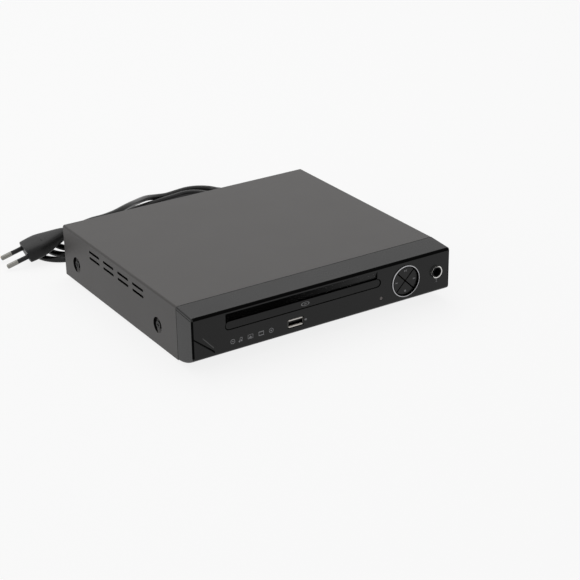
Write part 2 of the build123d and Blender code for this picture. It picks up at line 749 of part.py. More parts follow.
def pulley_profile(x, radius):
    """Half section of a grooved pulley whose axis is at x."""
    rim = x + radius + 0.4
    groove_floor = x + radius - 0.5
    top = pulley_z + pulley_width
    return [(x, pulley_z), (rim, pulley_z), (rim, pulley_z + 0.3), (groove_floor, pulley_z + 0.45),
            (groove_floor, top - 0.45), (rim, top - 0.3), (rim, top), (x, top)]


with BuildPart() as pulley_gear:
    with BuildSketch(facing(gear_y)):
        with BuildLine():
            Polyline(*pulley_profile(pulley_x, pulley_radius), close=True)
        make_face()
    revolve(axis=Axis((pulley_x, gear_y, 0), (0, 0, 1)))
    with BuildSketch(Plane.XY.offset(pulley_z + pulley_width)):
        with BuildLine():
            pinion = gear_points((pulley_x, gear_y), pinion_teeth, module, pi / pinion_teeth)
            Polyline(*pinion, close=True)
        make_face()
    extrude(amount=wheel_z + wheel_width - pulley_z - pulley_width)
    with BuildSketch(Plane.XY.offset(pulley_z - 1)):
        with Locations((pulley_x, gear_y)):
            Circle(axle_radius + running)
    extrude(amount=12.0, mode=Mode.SUBTRACT)
finish(pulley_gear.part, "pulley_gear")

motor_shaft = 1.0
with BuildPart() as motor_pulley:
    with BuildSketch(facing(motor_y)):
        with BuildLine():
            Polyline(*pulley_profile(motor_x, motor_pulley_radius), close=True)
        make_face()
    revolve(axis=Axis((motor_x, motor_y, 0), (0, 0, 1)))
    with BuildSketch(Plane.XY.offset(pulley_z - 1)):
        with Locations((motor_x, motor_y)):
            Circle(motor_shaft + running)
    extrude(amount=6.0, mode=Mode.SUBTRACT)
finish(motor_pulley.part, "motor_pulley")

with BuildPart() as loading_motor:
    with BuildSketch(Plane.XY.offset(floor_z)):
        with Locations((motor_x, motor_y)):
            Circle(motor_radius)
    extrude(amount=-9.5)
    fillet(loading_motor.edges().group_by(Axis.Z)[0], radius=1.0)
    with BuildSketch(Plane.XY.offset(floor_z)):
        with Locations((motor_x, motor_y)):
            Circle(3.2)
    extrude(amount=floor_wall)
    with BuildSketch(Plane.XY.offset(floor_top)):
        with Locations((motor_x, motor_y)):
            Circle(motor_shaft)
    extrude(amount=4.0)
finish(loading_motor.part, "loading_motor")

# belt in the two grooves: two tangent runs and two arcs
belt_big = pulley_radius + 0.3
belt_small = motor_pulley_radius + 0.3
belt_z = pulley_z + pulley_width / 2
run_x = motor_x - pulley_x
run_y = motor_y - gear_y
run_length = sqrt(run_x ** 2 + run_y ** 2)
belt_plane = Plane(origin=(pulley_x, gear_y, belt_z), x_dir=(run_x, run_y, 0), z_dir=(0, 0, 1))
wrap = acos((belt_big - belt_small) / run_length)
with BuildPart() as loading_belt:
    with BuildSketch(belt_plane.offset(-belt_radius)):
        for shift, mode in ((belt_radius, Mode.ADD), (-belt_radius, Mode.SUBTRACT)):
            big = belt_big + shift
            small = belt_small + shift
            with BuildLine():
                big_on = (big * cos(wrap), big * sin(wrap))
                big_off = (big * cos(wrap), -big * sin(wrap))
                small_on = (run_length + small * cos(wrap), small * sin(wrap))
                small_off = (run_length + small * cos(wrap), -small * sin(wrap))
                Line(big_on, small_on)
                ThreePointArc(small_on, (run_length + small, 0), small_off)
                Line(small_off, big_off)
                ThreePointArc(big_off, (-big, 0), big_on)
            make_face(mode=mode)
    extrude(amount=2 * belt_radius)
finish(loading_belt.part, "loading_belt")

# slider whose sloping slot lowers the traverse's front pin
cam_x = (slot_x - 27.25, slot_x + 24.75)
pin_x = slot_x
pin_z = deck_z + deck_wall / 2
pin_drop = (pivot_y - pin_y) * sin(deck_tilt)
pin_slack = 0.35
with BuildPart() as cam_slider:
    with BuildSketch(facing(pin_y - cam_plate / 2)):
        with Locations(((cam_x[0] + cam_x[1]) / 2, floor_z - 0.2)):
            Rectangle(cam_x[1] - cam_x[0], 16.4)
        # the slot runs a little past the pin's two end places
        slope_length = sqrt(cam_travel ** 2 + pin_drop ** 2)
        reach = pin_radius + pin_slack
        across_x = pin_drop / slope_length * reach
        across_z = cam_travel / slope_length * reach
        high = (pin_x + 1.2 * across_z, pin_z + 1.2 * across_x)
        low = (pin_x - cam_travel - 1.2 * across_z, pin_z - pin_drop - 1.2 * across_x)
        with BuildLine():
            Polyline((high[0] - across_x, high[1] + across_z), (high[0] + across_x, high[1] - across_z),
                     (low[0] + across_x, low[1] - across_z), (low[0] - across_x, low[1] + across_z),
                     close=True)
        make_face(mode=Mode.SUBTRACT)
    extrude(amount=-cam_plate)
    # foot that slides on the loader's floor
    with BuildSketch(Plane.XY.offset(floor_top + seat)):
        with Locations(((cam_x[0] + cam_x[1]) / 2, pin_y - cam_plate / 2 - 1.0)):
            Rectangle(cam_x[1] - cam_x[0], 2.0)
    extrude(amount=1.4)
    # slot goes through the foot as well
    with BuildSketch(Plane.XY.offset(floor_top)):
        with Locations((pin_x - 3.0, pin_y - cam_plate / 2 - 2.0)):
            Rectangle(16.0, 4.0)
    extrude(amount=2.5, mode=Mode.SUBTRACT)
finish(cam_slider.part, "cam_slider")

# ================================================================ traverse
window_x = (slot_x - 27.25, slot_x + 25.75)
window_y = (disc_y + 14.0, disc_y + 74.75)
rod_x = (slot_x - 22.75, slot_x + 21.25)
rod_y = (window_y[0] - 3.0, window_y[1] + 3.0)
screw_x = slot_x + 30.75
screw_radius = 1.6
with BuildPart() as traverse_deck:
    with BuildSketch(Plane.XY.offset(deck_z)):
        with Locations(((deck_x[0] + deck_x[1]) / 2, (deck_y[0] + deck_y[1]) / 2)):
            Rectangle(deck_x[1] - deck_x[0], deck_y[1] - deck_y[0])
        with Locations(((window_x[0] + window_x[1]) / 2, (window_y[0] + window_y[1]) / 2)):
            Rectangle(window_x[1] - window_x[0], window_y[1] - window_y[0], mode=Mode.SUBTRACT)
        with Locations((slot_x, disc_y)):
            Circle(6.0, mode=Mode.SUBTRACT)
    extrude(amount=deck_wall)
    # trunnions at the rear, cam pin at the front
    with BuildSketch(Plane.YZ.offset(deck_x[0] - 4.0)):
        with Locations((pivot_y, deck_z + deck_wall / 2)):
            Circle(rod_radius)
    extrude(amount=6.0)
    with BuildSketch(Plane.YZ.offset(deck_x[1] - 2.0)):
        with Locations((pivot_y, deck_z + deck_wall / 2)):
            Circle(rod_radius)
    extrude(amount=6.0)
    with BuildSketch(facing(deck_y[0] + 2.0)):
        with Locations((pin_x, pin_z)):
            Circle(pin_radius)
    extrude(amount=deck_y[0] + 2.0 - pin_end)
    # clips that hold the rods' ends
    for clip_y in (rod_y[0] + 1.5, rod_y[1] - 1.5):
        with BuildSketch(Plane.XY.offset(deck_z)):
            for clip_x in rod_x:
                with Locations((clip_x, clip_y)):
                    Rectangle(6.0, 3.0)
        extrude(amount=-(deck_z - rod_z + 3.0))
    for clip_x in rod_x:
        with BuildSketch(facing(rod_y[0])):
            with Locations((clip_x, rod_z)):
                Circle(rod_radius + 0.02)
        extrude(amount=-(rod_y[1] - rod_y[0]), mode=Mode.SUBTRACT)
    # bearing block for the screw's front end
    with BuildSketch(Plane.XY.offset(deck_z)):
        with Locations((screw_x, rod_y[0] + 1.5)):
            Rectangle(6.0, 3.0)
    extrude(amount=-(deck_z - rod_z + 3.0))
    with BuildSketch(facing(rod_y[0])):
        with Locations((screw_x, rod_z)):
            Circle(screw_radius + running)
    extrude(amount=-3.0, mode=Mode.SUBTRACT)
finish(traverse_deck.part, "traverse_deck")

with BuildPart() as spindle_motor:
    with BuildSketch(Plane.XY.offset(deck_z)):
        with Locations((slot_x, disc_y)):
            Circle(12.0)
    extrude(amount=-6.0)
    fillet(spindle_motor.edges().group_by(Axis.Z)[0], radius=0.8)
    with BuildSketch(Plane.XY.offset(deck_z)):
        with Locations((slot_x, disc_y)):
            Circle(1.5)
    extrude(amount=14.0)
finish(spindle_motor.part, "spindle_motor")

with BuildPart() as turntable:
    with BuildSketch(Plane.XY.offset(deck_z + deck_wall + seat)):
        with Locations((slot_x, disc_y)):
            Circle(5.0)
    extrude(amount=10.0)
    with BuildSketch(Plane.XY.offset(deck_z + 10.4)):
        with Locations((slot_x, disc_y)):
            Circle(15.0)
    extrude(amount=1.8)
    with BuildSketch(Plane.XY.offset(deck_z + 12.2)):
        with Locations((slot_x, disc_y)):
            Circle(7.3)
    extrude(amount=2.3, taper=12)
    with BuildSketch(Plane.XY.offset(deck_z)):
        with Locations((slot_x, disc_y)):
            Circle(1.5 + running)
    extrude(amount=16.0, mode=Mode.SUBTRACT)
finish(turntable.part, "turntable")

with BuildPart() as guide_rods:
    with BuildSketch(facing(rod_y[1])):
        for place_x in rod_x:
            with Locations((place_x, rod_z)):
                Circle(rod_radius)
    extrude(amount=rod_y[1] - rod_y[0])
finish(guide_rods.part, "guide_rods")

sled_y = (disc_y + 16.5, disc_y + 38.0)
lens_y = disc_y + 23.5
with BuildPart() as pickup_sled:
    with BuildSketch(Plane.XY.offset(rod_z - 3.2)):
        with Locations(((rod_x[0] + rod_x[1]) / 2, (sled_y[0] + sled_y[1]) / 2)):
            Rectangle(rod_x[1] - rod_x[0] + 6.4, sled_y[1] - sled_y[0])
    extrude(amount=5.8)
    with BuildSketch(Plane.XY.offset(rod_z + 2.6)):
        with Locations((slot_x, lens_y + 3.0)):
            Rectangle(20.0, 18.0)
    extrude(amount=6.4)
    with BuildSketch(Plane.XY.offset(rod_z + 9.0)):
        with Locations((slot_x, lens_y)):
            Circle(5.0)
    extrude(amount=1.6)
    # finger that follows the screw
    with BuildSketch(Plane.XY.offset(rod_z - 3.0)):
        with Locations(((rod_x[1] + 3.0 + screw_x + 3.0) / 2, (sled_y[0] + sled_y[1]) / 2)):
            Rectangle(screw_x + 3.0 - rod_x[1] - 3.0, 6.0)
    extrude(amount=5.4)
    for place_x in rod_x:
        with BuildSketch(facing(sled_y[0] - 1)):
            with Locations((place_x, rod_z)):
                Circle(rod_radius + running)
        extrude(amount=-(sled_y[1] - sled_y[0] + 2), mode=Mode.SUBTRACT)
    with BuildSketch(facing(sled_y[0] - 1)):
        with Locations((screw_x, rod_z)):
            Circle(screw_radius + running)
    extrude(amount=-(sled_y[1] - sled_y[0] + 2), mode=Mode.SUBTRACT)
finish(pickup_sled.part, "pickup_sled")

with BuildPart() as pickup_lens:
    with BuildSketch(Plane.XY.offset(rod_z + 10.6)):
        with Locations((slot_x, lens_y)):
            Circle(2.6)
    extrude(amount=0.9)
    fillet(pickup_lens.edges().group_by(Axis.Z)[-1], radius=0.6)
finish(pickup_lens.part, "pickup_lens")

sled_motor_front = rod_y[1] - 10.0
with BuildPart() as sled_screw:
    groove = 0.35
    turns = int((sled_motor_front - rod_y[0] - 4.0) / screw_pitch)
    with BuildSketch(Plane.YZ.offset(screw_x)):
        with BuildLine():
            screw_top = rod_z + screw_radius
            outline = [(rod_y[0], rod_z), (rod_y[0], screw_top), (rod_y[0] + 3.2, screw_top)]
            for turn in range(turns):
                start = rod_y[0] + 3.2 + turn * screw_pitch
                outline.append((start + 1.8, screw_top))
                outline.append((start + 2.15, screw_top - groove))
                outline.append((start + 2.65, screw_top - groove))
                outline.append((start + 3.0, screw_top))
            outline.append((sled_motor_front - seat, screw_top))
            outline.append((sled_motor_front - seat, rod_z + 0.8))
            outline.append((sled_motor_front + 3.0, rod_z + 0.8))
            outline.append((sled_motor_front + 3.0, rod_z))
            Polyline(*outline, close=True)
        make_face()
    revolve(axis=Axis((screw_x, 0, rod_z), (0, 1, 0)))
finish(sled_screw.part, "sled_screw")

with BuildPart() as sled_motor:
    with BuildSketch(facing(sled_motor_front)):
        with Locations((screw_x, rod_z)):
            Circle(deck_z - rod_z)
        with Locations((screw_x, (rod_z + deck_z) / 2)):
            Rectangle(5.0, deck_z - rod_z)
    extrude(amount=-11.0)
    with BuildSketch(facing(sled_motor_front)):
        with Locations((screw_x, rod_z)):
            Circle(0.8 + running)
    extrude(amount=-3.2, mode=Mode.SUBTRACT)
finish(sled_motor.part, "sled_motor")

# ================================================================ boards


def flat_board(xs, ys, spots, name):
    """A printed circuit board on standoffs."""
    with BuildPart() as board:
        with BuildSketch(Plane.XY.offset(board_z)):
            with Locations(((xs[0] + xs[1]) / 2, (ys[0] + ys[1]) / 2)):
                Rectangle(xs[1] - xs[0], ys[1] - ys[0])
            with Locations(*spots):
                Circle(board_screw + 0.2, mode=Mode.SUBTRACT)
        extrude(amount=board_wall)
    finish(board.part, name)


flat_board(main_x, main_y, main_spots, "main_board")
flat_board(psu_x, psu_y, psu_spots, "power_board")

with BuildPart() as board_screws:
    for spots, head_z in ((main_spots, board_top), (psu_spots, board_top), (usb_spots, usb_board_top)):
        with BuildSketch(Plane.XY.offset(head_z)):
            with Locations(*spots):
                Circle(2.5)
        extrude(amount=1.4)
        with BuildSketch(Plane.XY.offset(head_z)):
            with Locations(*spots):
                Circle(board_screw)
        extrude(amount=-5.5)
finish(board_screws.part, "board_screws")

# places on the boards: from the main board's right edge and middle, and from the power board's corners
main_middle = (main_y[0] + main_y[1]) / 2
chips = ((-44.0, 0.0, 14.0, 14.0, 1.6), (-68.0, -2.0, 18.0, 8.0, 1.2), (-22.0, -4.5, 8.0, 6.0, 1.5),
         (-22.0, 4.5, 6.0, 5.0, 1.5))
with BuildPart() as board_chips:
    for chip_right, chip_back, chip_width, chip_depth, chip_height in chips:
        with BuildSketch(Plane.XY.offset(board_top)):
            with Locations((main_x[1] + chip_right, main_middle + chip_back)):
                Rectangle(chip_width, chip_depth)
        extrude(amount=chip_height)
finish(board_chips.part, "board_chips")

cans = ((psu_x[1] - 18.0, psu_y[1] - 52.0, 8.0, 25.0), (psu_x[0] + 11.5, psu_y[0] + 22.0, 5.0, 16.0),
        (psu_x[0] + 25.5, psu_y[0] + 22.0, 5.0, 16.0), (psu_x[0] + 11.5, psu_y[0] + 36.0, 4.0, 12.0),
        (main_x[0] + 14.0, main_middle - 4.5, 3.0, 8.0), (main_x[1] - 8.0, main_middle + 4.0, 3.0, 8.0))
with BuildPart() as capacitors:
    for can_x, can_y, can_radius, can_height in cans:
        with BuildSketch(Plane.XY.offset(board_top)):
            with Locations((can_x, can_y)):
                Circle(can_radius)
        extrude(amount=can_height)
    rims = capacitors.edges().filter_by(GeomType.CIRCLE).filter_by(lambda e: e.center().Z > board_top + 1)
    fillet(rims, radius=0.6)
finish(capacitors.part, "capacitors")

core_spot = (psu_x[1] - 22.0, psu_y[0] + 68.0)
core_layers = ((24.0, 20.0, 3.0), (17.0, 18.0, 12.0), (24.0, 20.0, 3.0))
with BuildPart() as transformer:
    layer_z = board_top
    for layer_width, layer_depth, layer_height in core_layers:
        with BuildSketch(Plane.XY.offset(layer_z)):
            with Locations(core_spot):
                Rectangle(layer_width, layer_depth)
        extrude(amount=layer_height)
        layer_z += layer_height
finish(transformer.part, "transformer")

sink_spot = (psu_x[0] + 7.5, psu_y[0] + 94.0)
with BuildPart() as heatsink:
    with BuildSketch(Plane.XY.offset(board_top)):
        with Locations(sink_spot):
            Rectangle(2.0, 30.0)
        with Locations((sink_spot[0] + 3.0, sink_spot[1])):
            with GridLocations(1, 7.2, 1, 5):
                Rectangle(4.0, 1.2)
    extrude(amount=24.0)
finish(heatsink.part, "heatsink")

fuse_x = psu_x[1] - 18.0
fuse_y = psu_y[1] - 20.0
fuse_radius = 2.5
fuse_length = 14.0
clip_height = 3.5
with BuildPart() as mains_fuse:
    with BuildSketch(Plane.YZ.offset(fuse_x)):
        with Locations((fuse_y, board_top + clip_height)):
            Circle(fuse_radius)
    extrude(amount=fuse_length)
    with BuildSketch(Plane.XY.offset(board_top)):
        for clip_x in (fuse_x + 2.5, fuse_x + fuse_length - 2.5):
            with Locations((clip_x, fuse_y)):
                Rectangle(4.0, 2 * fuse_radius + 2.0)
    extrude(amount=clip_height)
finish(mains_fuse.part, "mains_fuse")

# flat flexible leads from the main board to the front board and to the pickup
ribbon_wall = 0.3
ribbon_width = 6.0
ribbon_x = front_board_x[0] + ribbon_width / 2 + 0.5
ribbon_z = (pan_top + seat, board_top, 14.0)
ribbon_y = (front_board_front + board_wall, seam_y + 4.0, main_y[0] - 2.0, main_y[0] + 6.0)
with BuildPart() as front_ribbon:
    with BuildSketch(Plane.YZ.offset(ribbon_x - ribbon_width / 2)):
        with BuildLine():
            Polyline((ribbon_y[0], ribbon_z[2]), (ribbon_y[1] + ribbon_wall, ribbon_z[2]),
                     (ribbon_y[1] + ribbon_wall, ribbon_z[0] + ribbon_wall),
                     (ribbon_y[2], ribbon_z[0] + ribbon_wall), (ribbon_y[2], ribbon_z[1] + ribbon_wall),
                     (ribbon_y[3], ribbon_z[1] + ribbon_wall), (ribbon_y[3], ribbon_z[1]),
                     (ribbon_y[2] + ribbon_wall, ribbon_z[1]), (ribbon_y[2] + ribbon_wall, ribbon_z[0]),
                     (ribbon_y[1], ribbon_z[0]), (ribbon_y[1], ribbon_z[2] - ribbon_wall),
                     (ribbon_y[0], ribbon_z[2] - ribbon_wall), close=True)
        make_face()
    extrude(amount=ribbon_width)
finish(front_ribbon.part, "front_ribbon")

# ================================================================ rear sockets
with BuildPart() as socket_block:
    with BuildSketch(facing(rear_wall_y)):
        with Locations((rca_x, board_top + block_height / 2)):
            Rectangle(block_width, block_height)
    extrude(amount=10.0)
finish(socket_block.part, "socket_block")

collar_radius = rca_radius + 0.45   # fills the wall's hole, so that the barrel is clear of its rim
core_radius = 2.6
with BuildPart() as socket_barrels:
    for row_z in rca_z:
        with BuildSketch(facing(rear_wall_y)):
            with Locations((rca_x, row_z)):
                with GridLocations(rca_pitch, 1, 3, 1):
                    Circle(collar_radius)
                    Circle(1.6, mode=Mode.SUBTRACT)
        extrude(amount=rear_wall_y - rear_y)
        with BuildSketch(facing(rear_y)):
            with Locations((rca_x, row_z)):
                with GridLocations(rca_pitch, 1, 3, 1):
                    Circle(rca_radius)
                    Circle(1.6, mode=Mode.SUBTRACT)
        extrude(amount=-socket_reach)
        # ring-shaped gap between the barrel and its core
        with BuildSketch(facing(rear_y + socket_reach)):
            with Locations((rca_x, row_z)):
                with GridLocations(rca_pitch, 1, 3, 1):
                    Circle(rca_radius - 0.6)
                    Circle(core_radius, mode=Mode.SUBTRACT)
        extrude(amount=socket_reach - 1.0, mode=Mode.SUBTRACT)
finish(socket_barrels.part, "socket_barrels")

# ================================================================ mains lead
relief_end = rear_y + relief_length
with BuildPart() as strain_relief:
    with BuildSketch(facing(rear_y - seat)):
        with Locations((relief_x, relief_z)):
            Circle(6.5)
    extrude(amount=-2.0)
    with BuildSketch(facing(rear_y - seat)):
        with Locations((relief_x, relief_z)):
            Circle(relief_stem)
    extrude(amount=4.0)
    with BuildSketch(facing(rear_y + 1.7)):
        with Locations((relief_x, relief_z)):
            Circle(5.2)
    with BuildSketch(facing(relief_end)):
        with Locations((relief_x, relief_z)):
            Circle(3.3)
    loft()
finish(strain_relief.part, "strain_relief")


def hank(along, across, height):
    """A point of the hank, from its own long and short axes."""
    angle = radians(hank_turn)
    return Vector(hank_x + along * cos(angle) - across * sin(angle),
                  hank_y + along * sin(angle) + across * cos(angle), height)


def corner_radii(points):
    """The largest arc that each corner of a route has room for."""
    radii = []
    for before, here, after in zip(points, points[1:], points[2:]):
        shorter = min((here - before).length, (after - here).length)
        turn = (here - before).get_angle(after - here)
        radii.append(0.45 * shorter / tan(radians(turn) / 2))
    return radii


def lay_tube(points, name):
    """A round tube along straight runs joined by tangent arcs."""
    radii = corner_radii(points)
    with BuildPart() as tube:
        with BuildLine() as route:
            FilletPolyline(*points, radius=radii)
        wire = route.wires()[0]
        with BuildSketch(Plane(origin=wire @ 0, z_dir=wire % 0)):
            Circle(cord_radius)
        sweep(path=wire)
    share = tube.part.volume / (pi * cord_radius ** 2 * wire.length)
    print(name, "radii", [round(r, 1) for r in radii], "length", round(wire.length, 1), "volume share",
          round(share, 4))
    finish(tube.part, name)
    return wire.length


# far runs lie away from the player, near runs behind it
far_low = 26.0
near_low = -24.0
far_inner = 19.5
near_inner = -17.5
coil_start = 30.0
coil_end = 56.0
left_ends = (-79.5, -73.5, -66.0)
right_ends = (62.0, 58.0, 64.0)

lead_points = [Vector(relief_x, relief_end, relief_z), Vector(relief_x, 133.0, relief_z),
               Vector(88.3, 142.0, 12.8), Vector(88.9, 153.0, 7.4), Vector(89.3, 165.0, 3.6),
               Vector(89.0, 180.0, cord_floor), Vector(83.6, 195.6, cord_floor),
               Vector(69.0, 203.6, cord_floor), hank(56.0, far_low, cord_floor),
               hank(coil_start, far_low, cord_floor)]
lead_length = lay_tube(lead_points, "cord_lead")

half = sqrt(0.5)


def half_turn(end, across_from, across_to, height, side):
    """Two quarter arcs from one run of the hank to the next."""
    radius = abs(across_from - across_to) / 2
    middle = (across_from + across_to) / 2
    sign = 1 if across_from > across_to else -1
    tip = hank(end + side * radius, middle, height)
    ThreePointArc(hank(end, across_from, height),
                  hank(end + side * half * radius, middle + sign * half * radius, height), tip)
    ThreePointArc(tip, hank(end + side * half * radius, middle - sign * half * radius, height),
                  hank(end, across_to, height))


with BuildPart() as cord_coil:
    with BuildLine() as turns_line:
        Line(hank(coil_start, far_low, cord_floor), hank(left_ends[0], far_low, cord_floor))
        half_turn(left_ends[0], far_low, near_low, cord_floor, -1)
        Line(hank(left_ends[0], near_low, cord_floor), hank(right_ends[0], near_low, cord_floor))
        half_turn(right_ends[0], near_low, far_inner, cord_floor, 1)
        Line(hank(right_ends[0], far_inner, cord_floor), hank(left_ends[1], far_inner, cord_floor))
        half_turn(left_ends[1], far_inner, near_inner, cord_floor, -1)
        # climb to the upper layer along the near run
        FilletPolyline(hank(left_ends[1], near_inner, cord_floor), hank(-45.0, near_inner, cord_floor),
                       hank(30.0, near_inner, cord_upper), hank(right_ends[1], near_inner, cord_upper),
                       radius=200.0)
        half_turn(right_ends[1], near_inner, far_inner, cord_upper, 1)
        Line(hank(right_ends[1], far_inner, cord_upper), hank(left_ends[2], far_inner, cord_upper))
        half_turn(left_ends[2], far_inner, near_low, cord_upper, -1)
        Line(hank(left_ends[2], near_low, cord_upper), hank(right_ends[2], near_low, cord_upper))
        half_turn(right_ends[2], near_low, far_low, cord_upper, 1)
        Line(hank(right_ends[2], far_low, cord_upper), hank(coil_end, far_low, cord_upper))
    coil_wire = turns_line.wires()[0]
    with BuildSketch(Plane(origin=coil_wire @ 0, z_dir=coil_wire % 0)):
        Circle(cord_radius)
    sweep(path=coil_wire)
finish(cord_coil.part, "cord_coil")

# least gap of the hank to itself, on points every few millimetres
steps = 400
samples = [coil_wire @ (step / steps) for step in range(steps + 1)]
spacing = coil_wire.length / steps
apart = int(8 * cord_radius / spacing) + 1
pairs = [(a, b) for a in range(steps + 1) for b in range(a + apart, steps + 1)]
least = min((samples[a] - samples[b]).length for a, b in pairs)
share = cord_coil.part.volume / (pi * cord_radius ** 2 * coil_wire.length)
print("cord_coil length", round(coil_wire.length, 1), "least gap", round(least - 2 * cord_radius, 2),
      "volume share", round(share, 4))

# plug, lying on the hank's left end with its pins towards the floor
plug_front = Vector(-127.3, 146.6, 8.9)
plug_yaw = radians(8.0)
plug_tilt = radians(17.8)
plug_back = Vector(cos(plug_yaw) * cos(plug_tilt), -sin(plug_yaw) * cos(plug_tilt), sin(plug_tilt))
plug_across = Vector(sin(plug_yaw), cos(plug_yaw), 0)
plug_plane = Plane(origin=plug_front, x_dir=plug_across, z_dir=plug_back)
plug_length = 36.0
plug_relief = 10.0
pin_length = 19.0
pin_gap = 19.0
sleeve_length = 9.5
pin_round = 2.0


def plug_section(wide, thick):
    """Rounded section of the plug's body."""
    RectangleRounded(wide, thick, min(wide, thick) * 0.38)


with BuildPart() as mains_plug:
    with BuildSketch(plug_plane):
        plug_section(26.0, 13.0)
    with BuildSketch(plug_plane.offset(13.0)):
        plug_section(28.0, 13.6)
    loft(ruled=True)
    with BuildSketch(plug_plane.offset(13.0)):
        plug_section(28.0, 13.6)
    with BuildSketch(plug_plane.offset(plug_length)):
        plug_section(11.0, 9.0)
    loft(ruled=True)
    with BuildSketch(plug_plane.offset(plug_length)):
        Circle(4.2)
    with BuildSketch(plug_plane.offset(plug_length + plug_relief)):
        Circle(3.0)
    loft()
    with BuildSketch(plug_plane):
        with Locations((-pin_gap / 2, 0), (pin_gap / 2, 0)):
            Circle(pin_round - 0.1)
    extrude(amount=-sleeve_length)
finish(mains_plug.part, "mains_plug")

with BuildPart() as plug_pins:
    with BuildSketch(plug_plane.offset(-sleeve_length)):
        with Locations((-pin_gap / 2, 0), (pin_gap / 2, 0)):
            Circle(pin_round)
    extrude(amount=-(pin_length - sleeve_length))
    fillet(plug_pins.edges().sort_by(Axis.X)[0:2], radius=1.2)
finish(plug_pins.part, "plug_pins")

plug_end = plug_front + plug_back * (plug_length + plug_relief)
tail_points = [hank(coil_end, far_low, cord_upper), hank(46.0, far_low, cord_upper), hank(34.0, 24.9, 10.5),
               hank(22.0, 20.4, 14.2), hank(10.5, 13.0, 17.6), hank(-1.0, 4.4, 21.0), hank(-12.5, -3.6, 24.2),
               hank(-24.5, -10.2, 26.2), hank(-37.0, -14.8, 26.5), hank(-50.5, -16.4, 26.6),
               plug_end + plug_back * 12.0, plug_end]
tail_length = lay_tube(tail_points, "cord_tail")
print("cord in all", round(lead_length + coil_wire.length + tail_length, 1))
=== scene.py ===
# %% [markdown]
# A compact disc player with a motor-driven tray: a black painted steel cover, a glossy moulded front with
# a tray door, four keys in a bright ring, a serial port and a microphone jack, and a mains lead lying in
# a loose hank behind it. The engineering model is loaded as a fixed frame, in metres, with +Z up and the
# front looking along -Y. This script gives each of its pieces a finish, replaces the plain lead and plug
# by finer ones, and adds small details that belong to Blender rather than to engineering.

# %% Load the frame
import json
from math import cos, pi, radians, sin, tan

import bmesh
import bpy
from mathutils import Matrix, Vector


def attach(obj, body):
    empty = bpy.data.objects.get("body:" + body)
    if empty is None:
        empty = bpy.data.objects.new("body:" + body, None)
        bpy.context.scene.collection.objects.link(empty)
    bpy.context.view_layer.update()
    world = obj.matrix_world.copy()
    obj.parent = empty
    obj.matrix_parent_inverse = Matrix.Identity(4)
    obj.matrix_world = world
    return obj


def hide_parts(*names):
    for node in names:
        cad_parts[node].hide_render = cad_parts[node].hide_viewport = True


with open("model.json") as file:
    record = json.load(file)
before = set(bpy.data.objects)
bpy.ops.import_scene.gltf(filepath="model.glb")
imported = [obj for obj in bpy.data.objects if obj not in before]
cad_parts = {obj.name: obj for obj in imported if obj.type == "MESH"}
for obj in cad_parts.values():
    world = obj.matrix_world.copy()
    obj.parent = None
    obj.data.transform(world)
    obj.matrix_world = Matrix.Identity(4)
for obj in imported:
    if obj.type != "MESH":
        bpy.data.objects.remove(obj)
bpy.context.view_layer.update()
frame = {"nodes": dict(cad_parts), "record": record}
nodes = frame["nodes"]
print("pieces in the frame:", len(nodes))


# %% [markdown]
# The sizes that the details need are written once, in millimetres, as on a drawing. Blender works in
# metres, so one small helper turns a drawing point into a place.

# %% Sizes shared by several pieces
front_y, rear_y = -106.25, 100.25
half_width, top_z = 112.5, 45.0
ring_x, ring_z = 71.1, 26.3
jack_x, jack_z = 100.0, 26.6
port_x, port_z = -27.15, 18.4
relief_x, relief_z, relief_length = 88, 16, 24.0


def place(x, y, z):
    """A drawing point in millimetres as a place in metres."""
    return Vector((x, y, z)) / 1000


print("front face at", place(0, front_y, 0).y, "m, rear edge at", place(0, rear_y, 0).y, "m")

# %% [markdown]
# The camera stands where the photographer stood: to the left of the player and a little above it, almost
# a metre and a quarter away with a long lens. It is built from three facts: how far it turns round the
# object, how far it looks down, and a slight roll of the horizon. A camera looks along its own -Z, so its
# matrix has the right-hand direction, the upward one and the one pointing back at the photographer.

# %% Camera
turn_round, look_down, horizon_roll = radians(-32.275), radians(24.497), radians(-0.935)
lens_length, sensor = 98.39, 36.0

towards = Vector((sin(turn_round) * cos(look_down), -cos(turn_round) * cos(look_down), sin(look_down)))
level = (-towards).cross(Vector((0, 0, 1))).normalized()
upright = level.cross(-towards)
across = cos(horizon_roll) * level + sin(horizon_roll) * upright
upward = cos(horizon_roll) * upright - sin(horizon_roll) * level

lens = bpy.data.cameras.new("studio_camera")
lens.lens, lens.sensor_width = lens_length, sensor
camera = bpy.data.objects.new("studio_camera", lens)
bpy.context.scene.collection.objects.link(camera)
standpoint = place(-581.80, -977.49, 514.86)
camera.matrix_world = Matrix.Translation(standpoint) @ Matrix((across, upward, towards)).transposed().to_4x4()
bpy.context.scene.camera = camera
print("camera stands", round(camera.matrix_world.translation.length, 3), "m from the origin")

# %% [markdown]
# The mains lead is one line from the rear wall to the plug. A NURBS curve suits it: its control points are
# the corners of the route, and a curve of order 3 rounds each of them off by itself, the way a springy lead
# does. The route starts straight out of the strain relief, falls to the table, runs round a hank of three
# loose turns, and climbs over the hank to the plug that lies on it. The turns come from a loop: each end of
# the hank is a half circle, and the corners of a polygon drawn round that circle are its control points.
# The curve's order is set once the points are in, because set before, it would stay at straight lines.

# %% Route of the mains lead
cord_radius = 2.5
on_table = cord_radius + 0.05
upper_layer = on_table + 2 * cord_radius + 0.5
hank_angle = radians(9.0)
hank_x, hank_y = -12.0, 163.0
# how far the hank's straight runs lie from its middle, two at its back and two at its front
back_outer, back_inner, front_inner, front_outer = 26, 19.5, -17.5, -24


def hank(along, across_it, height):
    """A point of the hank, from its own long and short axes."""
    return Vector((hank_x + along * cos(hank_angle) - across_it * sin(hank_angle),
                   hank_y + along * sin(hank_angle) + across_it * cos(hank_angle), height))


